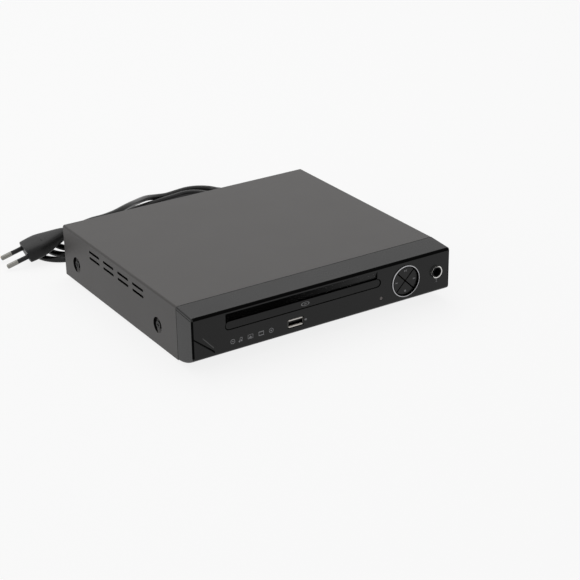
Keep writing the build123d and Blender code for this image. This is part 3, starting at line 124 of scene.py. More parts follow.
def round_end(end, start, stop, height, side):
    """Control points of one half turn at the hank's end, corners of a polygon round its circle."""
    radius, middle = abs(start - stop) / 2, (start + stop) / 2
    way = 1 if start > stop else -1
    lead_in = radius * tan(pi / 8)
    points = [hank(end - side * lead_in, start, height)]
    for corner in range(4):
        angle = pi / 8 + corner * pi / 4
        reach = radius / cos(pi / 8)
        points.append(hank(end + side * reach * sin(angle), middle + way * reach * cos(angle), height))
    return points + [hank(end - side * lead_in, stop, height)]


relief_end = rear_y + relief_length
leaving = [Vector(p) for p in ((relief_x, relief_end, relief_z), (relief_x, 133, relief_z), (88.3, 142, 12.8),
                               (88.9, 153, 7.4), (89.3, 165, 3.6), (89, 180, on_table),
                               (83.6, 195.6, on_table), (69, 203.6, on_table))]
leaving += [hank(56, back_outer, on_table), hank(30, back_outer, on_table)]

# one row for each half turn: where it starts to bend, the run it comes from and the run it goes to, its
# height, and the end of the hank that it is at
half_turns = ((-79.5, back_outer, front_outer, on_table, -1), (62, front_outer, back_inner, on_table, 1),
              (-73.5, back_inner, front_inner, on_table, -1), (58, front_inner, back_inner, upper_layer, 1),
              (-66, back_inner, front_outer, upper_layer, -1), (64, front_outer, back_outer, upper_layer, 1))
last_on_table = 3
winding = []
for number, half_turn in enumerate(half_turns, 1):
    winding += round_end(*half_turn)
    if number == last_on_table:
        winding += [hank(-45, front_inner, on_table), hank(30, front_inner, upper_layer)]
print("control points in the hank:", len(winding))

# %% Way from the hank to the plug
plug_yaw, plug_tilt = radians(8.0), radians(17.8)
plug_length, straight_run = 46.0, 12.0
plug_front = Vector((-127.3, 146.6, 8.9))
plug_back = Vector((cos(plug_yaw) * cos(plug_tilt), -sin(plug_yaw) * cos(plug_tilt), sin(plug_tilt)))
plug_across = Vector((sin(plug_yaw), cos(plug_yaw), 0))
plug_end = plug_front + plug_back * plug_length

climbing = [hank(46, back_outer, upper_layer), hank(34, 24.9, 10.5), hank(22, 20.4, 14.2),
            hank(10.5, 13, 17.6), hank(-1, 4.4, 21), hank(-12.5, -3.6, 24.2), hank(-24.5, -10.2, 26.2),
            hank(-37, -14.8, 26.5), hank(-50.5, -16.4, 26.6), plug_end + plug_back * straight_run, plug_end]
route = leaving + winding + climbing

line = bpy.data.curves.new("mains_lead", "CURVE")
line.dimensions = "3D"
spline = line.splines.new("NURBS")
spline.points.add(len(route) - 1)
for point, spot in zip(spline.points, route):
    point.co = (*(spot / 1000), 1.0)
spline.order_u = 3
spline.use_endpoint_u = True
spline.resolution_u = 8
line.bevel_depth = cord_radius / 1000
line.bevel_resolution = 5
mains_lead = bpy.data.objects.new("mains_lead", line)
bpy.context.scene.collection.objects.link(mains_lead)
print("control points in all:", len(route), "spline length", round(spline.calc_length(), 4), "m")

# %% [markdown]
# A finish is more than a colour. Moulded plastic has a fine skin, paint a faint orange peel, pressed steel
# the lines of the roll, and anything that stands on a shelf a little dust on its upper faces. Several
# materials share these effects, so each effect is a shader node group with its own sockets. The groups
# read the object's own coordinates, so a pattern stays put when the tray or a key moves.

# %% Helpers for shader groups


def new_group(name, inputs, outputs):
    """An empty shader node group with float sockets, and its two end nodes."""
    group = bpy.data.node_groups.new(name, "ShaderNodeTree")
    for label, value in inputs:
        socket = group.interface.new_socket(name=label, in_out="INPUT", socket_type="NodeSocketFloat")
        socket.default_value = value
    for label in outputs:
        group.interface.new_socket(name=label, in_out="OUTPUT", socket_type="NodeSocketFloat")
    return group, group.nodes.new("NodeGroupInput"), group.nodes.new("NodeGroupOutput")


def wire(tree, start, end):
    """Join an output socket to an input socket."""
    tree.links.new(start, end)


def calculate(tree, operation, first, second):
    """A maths node; each side is a socket or a number."""
    node = tree.nodes.new("ShaderNodeMath")
    node.operation = operation
    for index, value in enumerate((first, second)):
        if isinstance(value, (int, float)):
            node.inputs[index].default_value = value
        else:
            wire(tree, value, node.inputs[index])
    return node.outputs[0]


# %% Fine grain of paint, plastic and rubber
grain_group, start, end = new_group("fine_grain", [("Scale", 1500.0), ("Patches", 25.0)],
                                    ["Height", "Mottle"])
spot = grain_group.nodes.new("ShaderNodeTexCoord")
fine = grain_group.nodes.new("ShaderNodeTexNoise")
fine.inputs["Detail"].default_value = 3.0
broad = grain_group.nodes.new("ShaderNodeTexNoise")
broad.inputs["Detail"].default_value = 4.0
wire(grain_group, spot.outputs["Object"], fine.inputs["Vector"])
wire(grain_group, spot.outputs["Object"], broad.inputs["Vector"])
wire(grain_group, start.outputs["Scale"], fine.inputs["Scale"])
wire(grain_group, start.outputs["Patches"], broad.inputs["Scale"])
wire(grain_group, fine.outputs["Fac"], end.inputs["Height"])
blended = calculate(grain_group, "MULTIPLY", broad.outputs["Fac"], 0.7)
touch = calculate(grain_group, "MULTIPLY", fine.outputs["Fac"], 0.3)
wire(grain_group, calculate(grain_group, "ADD", blended, touch), end.inputs["Mottle"])
print("group made:", grain_group.name)

# %% Lines that rolling and brushing leave in metal
lines_group, start, end = new_group("rolled_lines", [("Scale", 900.0), ("Stretch", 0.03)],
                                    ["Height", "Streak"])
spot = lines_group.nodes.new("ShaderNodeTexCoord")
squeeze = lines_group.nodes.new("ShaderNodeCombineXYZ")
squeeze.inputs["X"].default_value = 1.0
squeeze.inputs["Z"].default_value = 1.0
along = lines_group.nodes.new("ShaderNodeVectorMath")
along.operation = "MULTIPLY"
streaks = lines_group.nodes.new("ShaderNodeTexNoise")
streaks.inputs["Detail"].default_value = 5.0
wire(lines_group, start.outputs["Stretch"], squeeze.inputs["Y"])
wire(lines_group, spot.outputs["Object"], along.inputs[0])
wire(lines_group, squeeze.outputs["Vector"], along.inputs[1])
wire(lines_group, along.outputs["Vector"], streaks.inputs["Vector"])
wire(lines_group, start.outputs["Scale"], streaks.inputs["Scale"])
wire(lines_group, streaks.outputs["Fac"], end.inputs["Height"])
wire(lines_group, streaks.outputs["Fac"], end.inputs["Streak"])
print("group made:", lines_group.name)

# %% Dust that settles on upper faces
dust_group, start, end = new_group("settled_dust", [("Amount", 0.1), ("Scale", 90.0)], ["Mask"])
spot = dust_group.nodes.new("ShaderNodeTexCoord")
facing = dust_group.nodes.new("ShaderNodeSeparateXYZ")
specks = dust_group.nodes.new("ShaderNodeTexNoise")
specks.inputs["Detail"].default_value = 8.0
specks.inputs["Roughness"].default_value = 0.7
wire(dust_group, spot.outputs["Normal"], facing.inputs["Vector"])
wire(dust_group, spot.outputs["Object"], specks.inputs["Vector"])
wire(dust_group, start.outputs["Scale"], specks.inputs["Scale"])
upper = calculate(dust_group, "MAXIMUM", facing.outputs["Z"], 0.0)
patchy = calculate(dust_group, "MULTIPLY", upper, specks.outputs["Fac"])
wire(dust_group, calculate(dust_group, "MULTIPLY", patchy, start.outputs["Amount"]), end.inputs["Mask"])
print("group made:", dust_group.name)

# %% [markdown]
# Every finish of the player is one row of a table: its two colours, between which it varies softly, how
# rough it is, and how strong its grain is. One function reads a row and builds the material, so that a
# finish is changed in one place. The Principled shader stays in the material itself; the groups only hand
# it colours, roughness and heights. The names are those of the record's material slots.

# %% A function that builds one finish


def shade(value):
    """A grey or colour written as on a screen, 0 to 255, as the linear light that a shader wants."""
    levels = value if isinstance(value, tuple) else (value, value, value)
    linear = [((v / 255 + 0.055) / 1.055) ** 2.4 if v > 10 else v / 255 / 12.92 for v in levels]
    return (*linear, 1.0)


finishes = {}


def make_finish(name, dark, light, roughness, metal=0.0, spread=0.06, grain=1500.0, depth=0.02, lines=False,
                dust=0.0, coat=0.0, specular=0.5):
    """A procedural material for one finish, kept in finishes under its name."""
    material = bpy.data.materials.new(name)
    material.use_nodes = True
    tree = material.node_tree
    shader = tree.nodes["Principled BSDF"]
    shader.inputs["Metallic"].default_value = metal
    shader.inputs["Specular IOR Level"].default_value = specular
    shader.inputs["Coat Weight"].default_value = coat
    shader.inputs["Coat Roughness"].default_value = 0.12
    effect = tree.nodes.new("ShaderNodeGroup")
    effect.node_tree = lines_group if lines else grain_group
    effect.inputs["Scale"].default_value = grain
    pattern = effect.outputs["Streak" if lines else "Mottle"]
    tone = tree.nodes.new("ShaderNodeMix")
    tone.data_type = "RGBA"
    tone.inputs["A"].default_value = shade(dark)
    tone.inputs["B"].default_value = shade(light)
    wire(tree, pattern, tone.inputs["Factor"])
    colour = tone.outputs["Result"]
    spread_node = tree.nodes.new("ShaderNodeMapRange")
    spread_node.inputs["From Min"].default_value = 0.3
    spread_node.inputs["From Max"].default_value = 0.7
    spread_node.inputs["To Min"].default_value = max(0.02, roughness - spread)
    spread_node.inputs["To Max"].default_value = min(1.0, roughness + spread)
    wire(tree, pattern, spread_node.inputs["Value"])
    rough = spread_node.outputs["Result"]
    if dust:
        film = tree.nodes.new("ShaderNodeGroup")
        film.node_tree = dust_group
        film.inputs["Amount"].default_value = dust
        dusty = tree.nodes.new("ShaderNodeMix")
        dusty.data_type = "RGBA"
        dusty.inputs["B"].default_value = shade((150, 146, 140))
        wire(tree, film.outputs["Mask"], dusty.inputs["Factor"])
        wire(tree, colour, dusty.inputs["A"])
        colour = dusty.outputs["Result"]
        rough = calculate(tree, "ADD", rough, film.outputs["Mask"])
    wire(tree, colour, shader.inputs["Base Color"])
    wire(tree, rough, shader.inputs["Roughness"])
    bump = tree.nodes.new("ShaderNodeBump")
    bump.inputs["Distance"].default_value = depth / 1000
    bump.inputs["Strength"].default_value = 0.6
    wire(tree, effect.outputs["Height"], bump.inputs["Height"])
    wire(tree, bump.outputs["Normal"], shader.inputs["Normal"])
    finishes[name] = material
    return material


# %% Case, front and controls
make_finish("cover_paint", (34, 30, 28), (37, 33, 31), 0.4, spread=0.015, grain=2600.0, depth=0.01, dust=0.03,
            specular=0.48)
make_finish("screw_black", 10, 14, 0.45, grain=3000.0, depth=0.006, specular=0.25)
make_finish("shadow_black", 4, 9, 0.9, specular=0.04)
# pale grey for the painted highlight inside the corner groove
make_finish("highlight_grey", 58, 66, 0.5, grain=2500.0, depth=0.002)
make_finish("foot_rubber", 20, 28, 0.75, grain=2000.0, depth=0.03, dust=0.1)
make_finish("bezel_black", 4, 9, 0.24, grain=3200.0, depth=0.003, dust=0.01, specular=0.27)
make_finish("door_black", 4, 8, 0.22, grain=3200.0, depth=0.003, specular=0.24)
make_finish("key_black", 7, 11, 0.3, grain=3200.0, depth=0.004, specular=0.29)
make_finish("chrome_ring", (170, 170, 172), (186, 186, 188), 0.16, metal=1.0, grain=700.0, depth=0.002,
            lines=True)
make_finish("chrome_nut", (200, 199, 196), (222, 221, 218), 0.1, metal=1.0, grain=700.0, depth=0.002,
            lines=True)
make_finish("jack_black", 4, 8, 0.5, specular=0.15)
make_finish("lamp_red", (60, 50, 50), (74, 62, 60), 0.15, grain=900.0, depth=0.002, coat=0.6)
# the port's steel is darkened as painted shade on the shell's sides
make_finish("usb_steel", (92, 90, 88), (110, 108, 106), 0.25, metal=1.0, grain=1200.0, depth=0.004,
            lines=True)
# a pale finish on the port's steel lips, as a painted highlight
make_finish("lip_painted_highlight", (240, 234, 226), (250, 246, 240), 0.25, grain=1200.0, depth=0.002, lines=True)
make_finish("usb_black", 10, 14, 0.45, specular=0.2)
make_finish("usb_gold", (196, 160, 84), (214, 178, 100), 0.25, metal=1.0, grain=1200.0, depth=0.003,
            lines=True)
make_finish("print_grey", (118, 118, 120), (132, 132, 134), 0.55, grain=2500.0, depth=0.002)
print("finishes so far:", len(finishes))

# %% Lead and plug
make_finish("cord_black", 5, 10, 0.3, grain=1400.0, depth=0.008, specular=0.3)
make_finish("plug_black", 12, 17, 0.42, grain=1600.0, depth=0.015, specular=0.26)
make_finish("pin_metal", (118, 117, 113), (142, 141, 136), 0.28, metal=1.0, grain=1000.0, depth=0.004,
            lines=True)
make_finish("sleeve_black", 9, 13, 0.4, specular=0.3)
print("finishes so far:", len(finishes))

# %% Metals inside and behind
metals = (("pan_steel", (150, 151, 150), (172, 173, 171), 0.38),
          ("bridge_steel", (158, 158, 155), (178, 178, 174), 0.34),
          ("screw_steel", (160, 160, 158), (185, 185, 182), 0.3),
          ("motor_steel", (150, 150, 150), (175, 175, 174), 0.28),
          ("deck_steel", (152, 152, 150), (174, 174, 171), 0.36),
          ("rod_steel", (180, 180, 182), (205, 205, 206), 0.14),
          ("sled_alloy", (128, 128, 128), (150, 150, 149), 0.45),
          ("sink_alloy", (150, 151, 152), (178, 179, 180), 0.4),
          ("socket_metal", (186, 184, 178), (212, 210, 204), 0.2),
          ("pulley_brass", (178, 142, 70), (202, 168, 96), 0.25))
for name, dark, light, roughness in metals:
    make_finish(name, dark, light, roughness, metal=1.0, grain=800.0, depth=0.006, lines=True)
print("finishes so far:", len(finishes))

# %% Plastics, boards and glass inside
plastics = (("tray_black", 24, 30, 0.42), ("loader_black", 22, 28, 0.5), ("puck_black", 20, 26, 0.45),
            ("cam_black", 26, 32, 0.45), ("turntable_black", 18, 24, 0.55), ("switch_black", 20, 26, 0.5),
            ("chip_black", 22, 28, 0.55), ("belt_rubber", 14, 19, 0.7), ("socket_plastic", 18, 25, 0.5),
            ("board_green", (20, 78, 48), (32, 96, 60), 0.35),
            ("board_tan", (150, 112, 62), (172, 134, 80), 0.5),
            ("gear_white", (214, 212, 202), (228, 226, 218), 0.45),
            ("can_dark", (26, 28, 44), (36, 38, 58), 0.3),
            ("coil_former", (176, 150, 52), (196, 170, 70), 0.5),
            ("ribbon_white", (196, 196, 192), (214, 214, 210), 0.4),
            ("fuse_glass", (188, 194, 194), (206, 211, 211), 0.08),
            ("lens_glass", (66, 74, 120), (84, 92, 146), 0.06))
for name, dark, light, roughness in plastics:
    make_finish(name, dark, light, roughness, grain=1500.0, depth=0.012)
ring_colours = (("ring_yellow", (206, 172, 34)), ("ring_white", (214, 214, 210)), ("ring_red", (170, 30, 26)),
                ("ring_green", (34, 120, 62)), ("ring_blue", (34, 66, 150)))
for name, colour in ring_colours:
    make_finish(name, colour, colour, 0.35, grain=1500.0, depth=0.006)
print("finishes in all:", len(finishes))

# %% [markdown]
# Each piece of the frame takes the finish that the record names for it. Only its material slot changes;
# its mesh is the engineering one and stays as it is.

# %% Finish for every piece of the frame
finish_of = {part["node"]: part["material_slot"] for part in frame["record"]["subparts"]}
for node_name, node in nodes.items():
    node.data.materials.clear()
    node.data.materials.append(finishes[finish_of[node_name]])
print("pieces with a finish:", len(nodes))

# %% [markdown]
# New pieces are all finished the same way: a bmesh becomes a mesh object at the origin with its place in
# its vertices, smooth faces that break at sharp angles, one finish, and a body to ride on.

# %% Helpers that turn a profile into a bmesh and a bmesh into a piece


def add_piece(name, bm, finish, body="root", sharp=35.0):
    """A finished piece from a bmesh, riding on a body."""
    bmesh.ops.recalc_face_normals(bm, faces=bm.faces)
    mesh = bpy.data.meshes.new(name)
    bm.to_mesh(mesh)
    bm.free()
    mesh.materials.append(finishes[finish])
    mesh.shade_smooth()
    mesh.set_sharp_from_angle(angle=radians(sharp))
    obj = bpy.data.objects.new(name, mesh)
    bpy.context.scene.collection.objects.link(obj)
    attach(obj, body)
    return obj


def spun(profile, steps=48):
    """A bmesh turned about +Z from (radius, height) points in millimetres."""
    bm = bmesh.new()
    corners = [bm.verts.new(place(radius, 0, height)) for radius, height in profile]
    edges = [bm.edges.new(pair) for pair in zip(corners, corners[1:])]
    bmesh.ops.spin(bm, geom=corners + edges, cent=(0, 0, 0), axis=(0, 0, 1), angle=2 * pi, steps=steps,
                   use_merge=True, use_duplicate=False)
    bmesh.ops.remove_doubles(bm, verts=bm.verts, dist=1e-7)
    return bm


def aim(bm, degrees, spot):
    """Turn a spun bmesh about the X axis, -90 degrees for the rear and 90 for the front, and place it."""
    bmesh.ops.rotate(bm, verts=bm.verts, cent=(0, 0, 0), matrix=Matrix.Rotation(radians(degrees), 3, "X"))
    bmesh.ops.translate(bm, verts=bm.verts, vec=spot)


def add_box(bm, size, spot):
    """A box in a bmesh, from its three sizes in metres and the place of its centre."""
    corners = bmesh.ops.create_cube(bm, size=1.0)["verts"]
    bmesh.ops.scale(bm, vec=size, verts=corners)
    bmesh.ops.translate(bm, verts=corners, vec=spot)


def soften(bm, offset, segments):
    """Bevel all the edges of a bmesh by an offset in metres."""
    bmesh.ops.bevel(bm, geom=bm.edges[:], offset=offset, segments=segments, profile=0.5, affect="EDGES",
                    material=-1)


print("helpers ready for the new pieces")

# %% [markdown]
# The lead's jacket is the curve itself with a round bevel. It stands for the three plain tubes of the
# frame.

# %% Lead's finish
line.materials.append(finishes["cord_black"])
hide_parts("cord_lead", "cord_coil", "cord_tail")
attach(mains_lead, "root")
print("lead rides on the root body")

# %% [markdown]
# The strain relief is one rubber moulding: a flange against the rear wall, then a taper with ring grooves
# that let it bend evenly. Turned pieces are quickest as a profile spun round an axis, so the grooves are
# simply steps in that profile.

# %% Strain relief
profile = [(0.0, -3.6), (4.4, -3.6), (4.4, -0.2), (6.4, 0.0), (6.5, 0.5), (6.3, 1.4), (5.2, 1.7)]
rings, first_ring, ring_pitch = 7, 2.6, 2.9
for ring in range(rings):
    base = first_ring + ring * ring_pitch
    outer = 5.2 - 1.9 * base / relief_length
    profile += [(outer - 0.05, base), (outer, base + 0.3), (outer - 0.05, base + 1.5),
                (outer - 0.7, base + 1.8), (outer - 0.75, base + 2.5)]
profile += [(3.3, relief_length - 1.2), (3.2, relief_length - 0.2), (2.9, relief_length),
            (0.0, relief_length)]
relief = spun(profile)
aim(relief, -90, place(relief_x, rear_y, relief_z))
strain_relief = add_piece("strain_relief_rings", relief, "cord_black")
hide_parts("strain_relief")
print("strain relief", relief_length, "mm long with", rings, "grooves")

# %% [markdown]
# The plug is a soft moulding with a flat face, wide shoulders, a waist for the fingers and a short tail.
# Its sections are rounded rectangles along one axis. Each starts as a circle whose points are pushed
# outwards until it is squarer, and the rings are then bridged. A Subdivision Surface modifier makes the
# skin smooth, and a few close rings keep the face's edge crisp.

# %% Plug body


def squarish(angle, wide, thick, power):
    """A point of a rounded rectangle, as a circle pushed towards its corners."""
    reach = (abs(cos(angle)) ** power + abs(sin(angle)) ** power) ** (-1 / power)
    return reach * cos(angle) * wide / 2, reach * sin(angle) * thick / 2


# along the plug, width, thickness and squareness of each section
plug_sections = ((0.0, 24.4, 11.6, 4.2), (0.25, 25.6, 12.8, 4.2), (1.4, 26.2, 13.1, 4.2),
                 (7.0, 27.2, 13.4, 4.0), (12.5, 27.8, 13.5, 3.8), (17.0, 25.4, 13.0, 3.4),
                 (22.0, 21.4, 12.2, 3.0), (27.5, 17.2, 11.2, 2.8), (33.0, 13.2, 10.0, 2.5),
                 (36.0, 10.6, 8.8, 2.2), (37.0, 8.4, 8.2, 2.0), (40.0, 7.6, 7.6, 2.0),
                 (45.6, 6.3, 6.3, 2.0), (plug_length, 5.4, 5.4, 2.0))
body = bmesh.new()
loops = []
for along, wide, thick, power in plug_sections:
    ring = bmesh.ops.create_circle(body, cap_ends=False, segments=32, radius=1.0)["verts"]
    for index, vert in enumerate(ring):
        u, v = squarish(2 * pi * index / len(ring), wide, thick, power)
        vert.co = (u / 1000, v / 1000, along / 1000)
    loops.append(ring)
body.edges.ensure_lookup_table()
for lower, higher in zip(loops, loops[1:]):
    both = set(lower) | set(higher)
    rims = [edge for edge in body.edges if edge.verts[0] in both and edge.verts[1] in both and edge.is_wire]
    rims += [edge for edge in body.edges
             if edge.is_boundary and set(edge.verts) <= set(lower) and edge not in rims]
    bmesh.ops.bridge_loops(body, edges=rims)
for rim in (loops[0], loops[-1]):
    lid = body.faces.new(rim)
    bmesh.ops.inset_region(body, faces=[lid], thickness=0.0012, use_even_offset=True)
bmesh.ops.recalc_face_normals(body, faces=body.faces)
print("plug body faces:", len(body.faces), "open edges:", sum(1 for e in body.edges if e.is_boundary))

# %% Plug in its place
plug_frame = Matrix((plug_across, plug_back.cross(plug_across), plug_back)).transposed().to_4x4()
plug_place = Matrix.Translation(plug_front / 1000) @ plug_frame
bmesh.ops.transform(body, matrix=plug_place, verts=body.verts)
plug_body = add_piece("plug_body", body, "plug_black", sharp=60.0)
rounding = plug_body.modifiers.new("rounding", "SUBSURF")
rounding.levels = rounding.render_levels = 2
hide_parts("mains_plug")

pin_spread, sleeve_radius = 9.5, 2.25
sleeve_profile = [(0.0, 0.3), (sleeve_radius, 0.3), (sleeve_radius, -0.5), (1.9, -0.7), (1.9, -9.3),
                  (1.8, -9.5), (0.0, -9.5)]
sleeves = bmesh.new()
for side in (-pin_spread, pin_spread):
    sleeve = spun(sleeve_profile, 32)
    bmesh.ops.translate(sleeve, verts=sleeve.verts, vec=place(side, 0, 0))
    part = bpy.data.meshes.new("sleeve_part")
    sleeve.to_mesh(part)
    sleeve.free()
    sleeves.from_mesh(part)
    bpy.data.meshes.remove(part)
bmesh.ops.transform(sleeves, matrix=plug_place, verts=sleeves.verts)
pin_sleeves = add_piece("pin_sleeves", sleeves, "sleeve_black")
print("plug placed at", tuple(round(v, 1) for v in plug_front))

# %% Ribs for the fingers on the plug
grip = bmesh.new()
ribs, first_rib, rib_pitch = 4, 15.5, 3.4
for side in (-1, 1):
    for step in range(ribs):
        along = first_rib + step * rib_pitch
        shrink = 1.0 - 0.13 * step
        height = 6.05 - 0.29 * (along - first_rib) * 0.42
        add_box(grip, (0.0132 * shrink, 0.0011, 0.0014), place(0, side * height, along))
soften(grip, 0.00035, 2)
bmesh.ops.transform(grip, matrix=plug_place, verts=grip.verts)
plug_grip = add_piece("plug_grip", grip, "plug_black")
print("grip ribs:", 2 * ribs)

# %% [markdown]
# The front carries a few printed marks in pale grey. They are thin raised shapes, a few hundredths of a
# millimetre high, so they catch the light as print does. The marks on the four keys are the usual ones:
# play, back, forward and stop. Others are plain pictures: a microphone below the jack, a ring on the door,
# and a row of small pictures of what the player reads. Each is drawn as a few corner points in the front's
# own plane, filled, and given its height by an extrusion.

# %% Helper for printed marks
print_height = 0.03


def draw_mark(name, shapes, centre, face_y, body="root"):
    """Flat printed shapes on the front; each shape is a list of (x, z) corners from the centre."""
    bm = bmesh.new()
    for shape in shapes:
        corners = [bm.verts.new(place(centre[0] + x, face_y, centre[1] + z)) for x, z in shape]
        face = bm.faces.new(corners)
        raised = bmesh.ops.extrude_face_region(bm, geom=[face])["geom"]
        lifted = [v for v in raised if isinstance(v, bmesh.types.BMVert)]
        bmesh.ops.translate(bm, verts=lifted, vec=place(0, -print_height, 0))
    return add_piece(name, bm, "print_grey", body)


def disc_shape(radius, x=0.0, z=0.0, steps=24):
    """Corners of a filled circle."""
    turns = [2 * pi * step / steps for step in range(steps)]
    return [(x + radius * cos(turn), z + radius * sin(turn)) for turn in turns]


def band_shapes(outer, inner, x=0.0, z=0.0, tall=1.0, steps=32):
    """A ring as short quads, round or oval."""
    quads = []
    for s in range(steps):
        a, b = 2 * pi * s / steps, 2 * pi * (s + 1) / steps
        quads.append([(x + r * cos(t), z + tall * r * sin(t)) for r, t in
                      ((inner, a), (outer, a), (outer, b), (inner, b))])
    return quads


def bar(x0, z0, x1, z1):
    """Corners of an upright rectangle."""
    return [(x0, z0), (x1, z0), (x1, z1), (x0, z1)]


# %% Marks on the keys
mark_reach = 8.2
key_face = door_face = front_y + 0.3
play = [[(-1.1, -0.8), (0.3, 0.0), (-1.1, 0.8)], bar(0.5, -0.8, 0.8, 0.8), bar(1.0, -0.8, 1.3, 0.8)]
back = [bar(-1.1, -0.7, -0.8, 0.7), [(-0.8, 0.0), (0.1, -0.7), (0.1, 0.7)],
        [(0.1, 0.0), (1.0, -0.7), (1.0, 0.7)]]
stop = [bar(-0.75, -0.75, 0.75, 0.75)]
forward = [bar(0.8, -0.7, 1.1, 0.7), [(0.8, 0.0), (-0.1, 0.7), (-0.1, -0.7)],
           [(-0.1, 0.0), (-1.0, 0.7), (-1.0, -0.7)]]
draw_mark("mark_play", play, (ring_x, ring_z + mark_reach), key_face, "key_up")
draw_mark("mark_back", back, (ring_x - mark_reach, ring_z), key_face, "key_west")
draw_mark("mark_stop", stop, (ring_x, ring_z - mark_reach), key_face, "key_down")
draw_mark("mark_forward", forward, (ring_x + mark_reach, ring_z), key_face, "key_east")
print("marks on the keys: 4")

# %% [markdown]
# A slanting groove crosses the front's lower left corner. A dark line over it is painted shade, and a short
# bright streak inside it is a painted highlight. Both are drawn in the same way as a mark, and then given a
# finish of their own.

# %% Painted shade and painted highlight along the groove across the lower left corner
line_spot, streak_spot = (-103.2, 20.8), (-100.0, 22.0)
line_shape = [(-8.2, 6.1), (-8.2, 7.3), (8.2, -6.1), (7.4, -6.9)]
streak_shape = [(-4.4, 4.5), (-4.1, 5.2), (4.6, -4.5), (4.2, -5.2)]
corner_groove_shade = draw_mark("corner_groove_shade", [line_shape], line_spot, front_y)
corner_groove_shade.data.materials[0] = finishes["shadow_black"]
streak = draw_mark("corner_highlight", [streak_shape], streak_spot, front_y)
streak.data.materials[0] = finishes["highlight_grey"]
print("corner line and its streak made")

# %% Marks on the front and the door
microphone_spot, arrow_spot = (100.3, 19.7), (-18.6, 18.6)
door_spot, row_spot = (-18.5, 30.9), (-60.0, 17.8)
microphone = [bar(-0.5, -0.1, 0.5, 1.5), disc_shape(0.5, 0, 1.5, 16), disc_shape(0.5, 0, -0.1, 16),
              bar(-0.12, -1.4, 0.12, -0.5), bar(-0.7, -1.6, 0.7, -1.4)]
arrow = [[(-0.9, -0.6), (0.3, -0.6), (0.3, -1.1), (1.2, 0.0), (0.3, 1.1), (0.3, 0.6), (-0.9, 0.6)]]
draw_mark("mark_microphone", microphone, microphone_spot, front_y)
draw_mark("mark_port", arrow, arrow_spot, front_y)
flat_disc = band_shapes(3.6, 2.9, tall=0.42) + band_shapes(1.1, 0.5, tall=0.42)
draw_mark("mark_disc", flat_disc, door_spot, door_face, "tray")

# the five small pictures of the row, from left to right
disc_picture = band_shapes(1.9, 1.45, -20.0) + [disc_shape(0.5, -20.0)]
note_picture = [bar(-14.2, -1.5, -13.8, 1.6), disc_shape(0.75, -14.5, -1.4, 16), bar(-14.2, 1.0, -12.4, 1.5),
                disc_shape(0.75, -12.8, -1.0, 16), bar(-12.5, -1.0, -12.1, 1.5)]
photo_picture = [bar(-7.6, -1.7, -3.2, -1.35), bar(-7.6, 1.35, -3.2, 1.7), bar(-7.6, -1.35, -7.25, 1.35),
                 bar(-3.55, -1.35, -3.2, 1.35), [(-7.0, -1.1), (-4.0, -1.1), (-5.4, 0.7)]]
film_picture = [bar(1.4, -1.7, 5.8, -1.0), bar(1.4, 1.0, 5.8, 1.7), bar(1.4, -1.0, 1.8, 1.0),
                bar(5.4, -1.0, 5.8, 1.0)]
start_picture = band_shapes(1.9, 1.5, 12.0) + [[(11.5, -0.9), (13.0, 0.0), (11.5, 0.9)]]
pictures = disc_picture + note_picture + photo_picture + film_picture + start_picture
draw_mark("mark_row", pictures, row_spot, front_y)
print("printed marks made")

# %% [markdown]
# On the real front the rounded edges mirror the dark room and read as black lines, and the seam between
# cover and front, the cut edges of the air slots and the hollow over the door read as black lines because
# they lie in shade. Thin dull black pieces, a few hundredths of a millimetre proud, paint this reflection
# and shade on as lines. An edge band is an arc in section that follows the rounding, made a thin closed
# strip and drawn out along the edge.

# %% Helpers for thin black bands of painted reflection and shade


def join_rings(bm, rings):
    """Faces between each ring of vertices and the next one."""
    for before, after in zip(rings, rings[1:]):
        for index in range(len(before)):
            following = (index + 1) % len(before)
            bm.faces.new((before[index], before[following], after[following], after[index]))


def closed_tube(bm, rings):
    """Rings of vertices joined into a tube, with a lid on both of its ends."""
    join_rings(bm, rings)
    bm.faces.new(rings[0])
    bm.faces.new(rings[-1])


def draw_out(bm, section, start, stop):
    """A closed section, drawn out: each of its points is a function from a distance to a place."""
    closed_tube(bm, [[bm.verts.new(point(distance)) for point in section] for distance in (start, stop)])


def arc_band(centre, radius, first, last, skin=0.05, steps=8):
    """Section of a thin band along an arc, as (a, b) pairs."""
    angles = [radians(first + (last - first) * step / steps) for step in range(steps + 1)]
    outer = [(centre[0] + (radius + skin) * cos(a), centre[1] + (radius + skin) * sin(a)) for a in angles]
    inner = [(centre[0] + (radius - skin) * cos(a), centre[1] + (radius - skin) * sin(a)) for a in angles]
    return outer + inner[::-1]


# %% Painted reflection of the dark room, as bands along the front's rounded edges
seam_y = -84.05
edge_round, corner_round = 1.9, 1.2
bands = bmesh.new()
top_centre = (front_y + edge_round, 41.632)
section = [lambda x, a=a, b=b: place(x, a, b) for a, b in arc_band(top_centre, edge_round, 102.0, 184.0)]
draw_out(bands, section, -half_width + corner_round, half_width - corner_round)
for side, first, last in ((-1, 186.0, 274.0), (1, -94.0, -6.0)):
    corner = (side * (half_width - corner_round), front_y + corner_round)
    arc = arc_band(corner, corner_round, first, last, 0.04)
    section = [lambda z, a=a, b=b: place(a, b, z) for a, b in arc]
    draw_out(bands, section, 12.6, top_centre[1])
add_piece("edge_reflection_bands", bands, "shadow_black")
print("edge bands: 3")
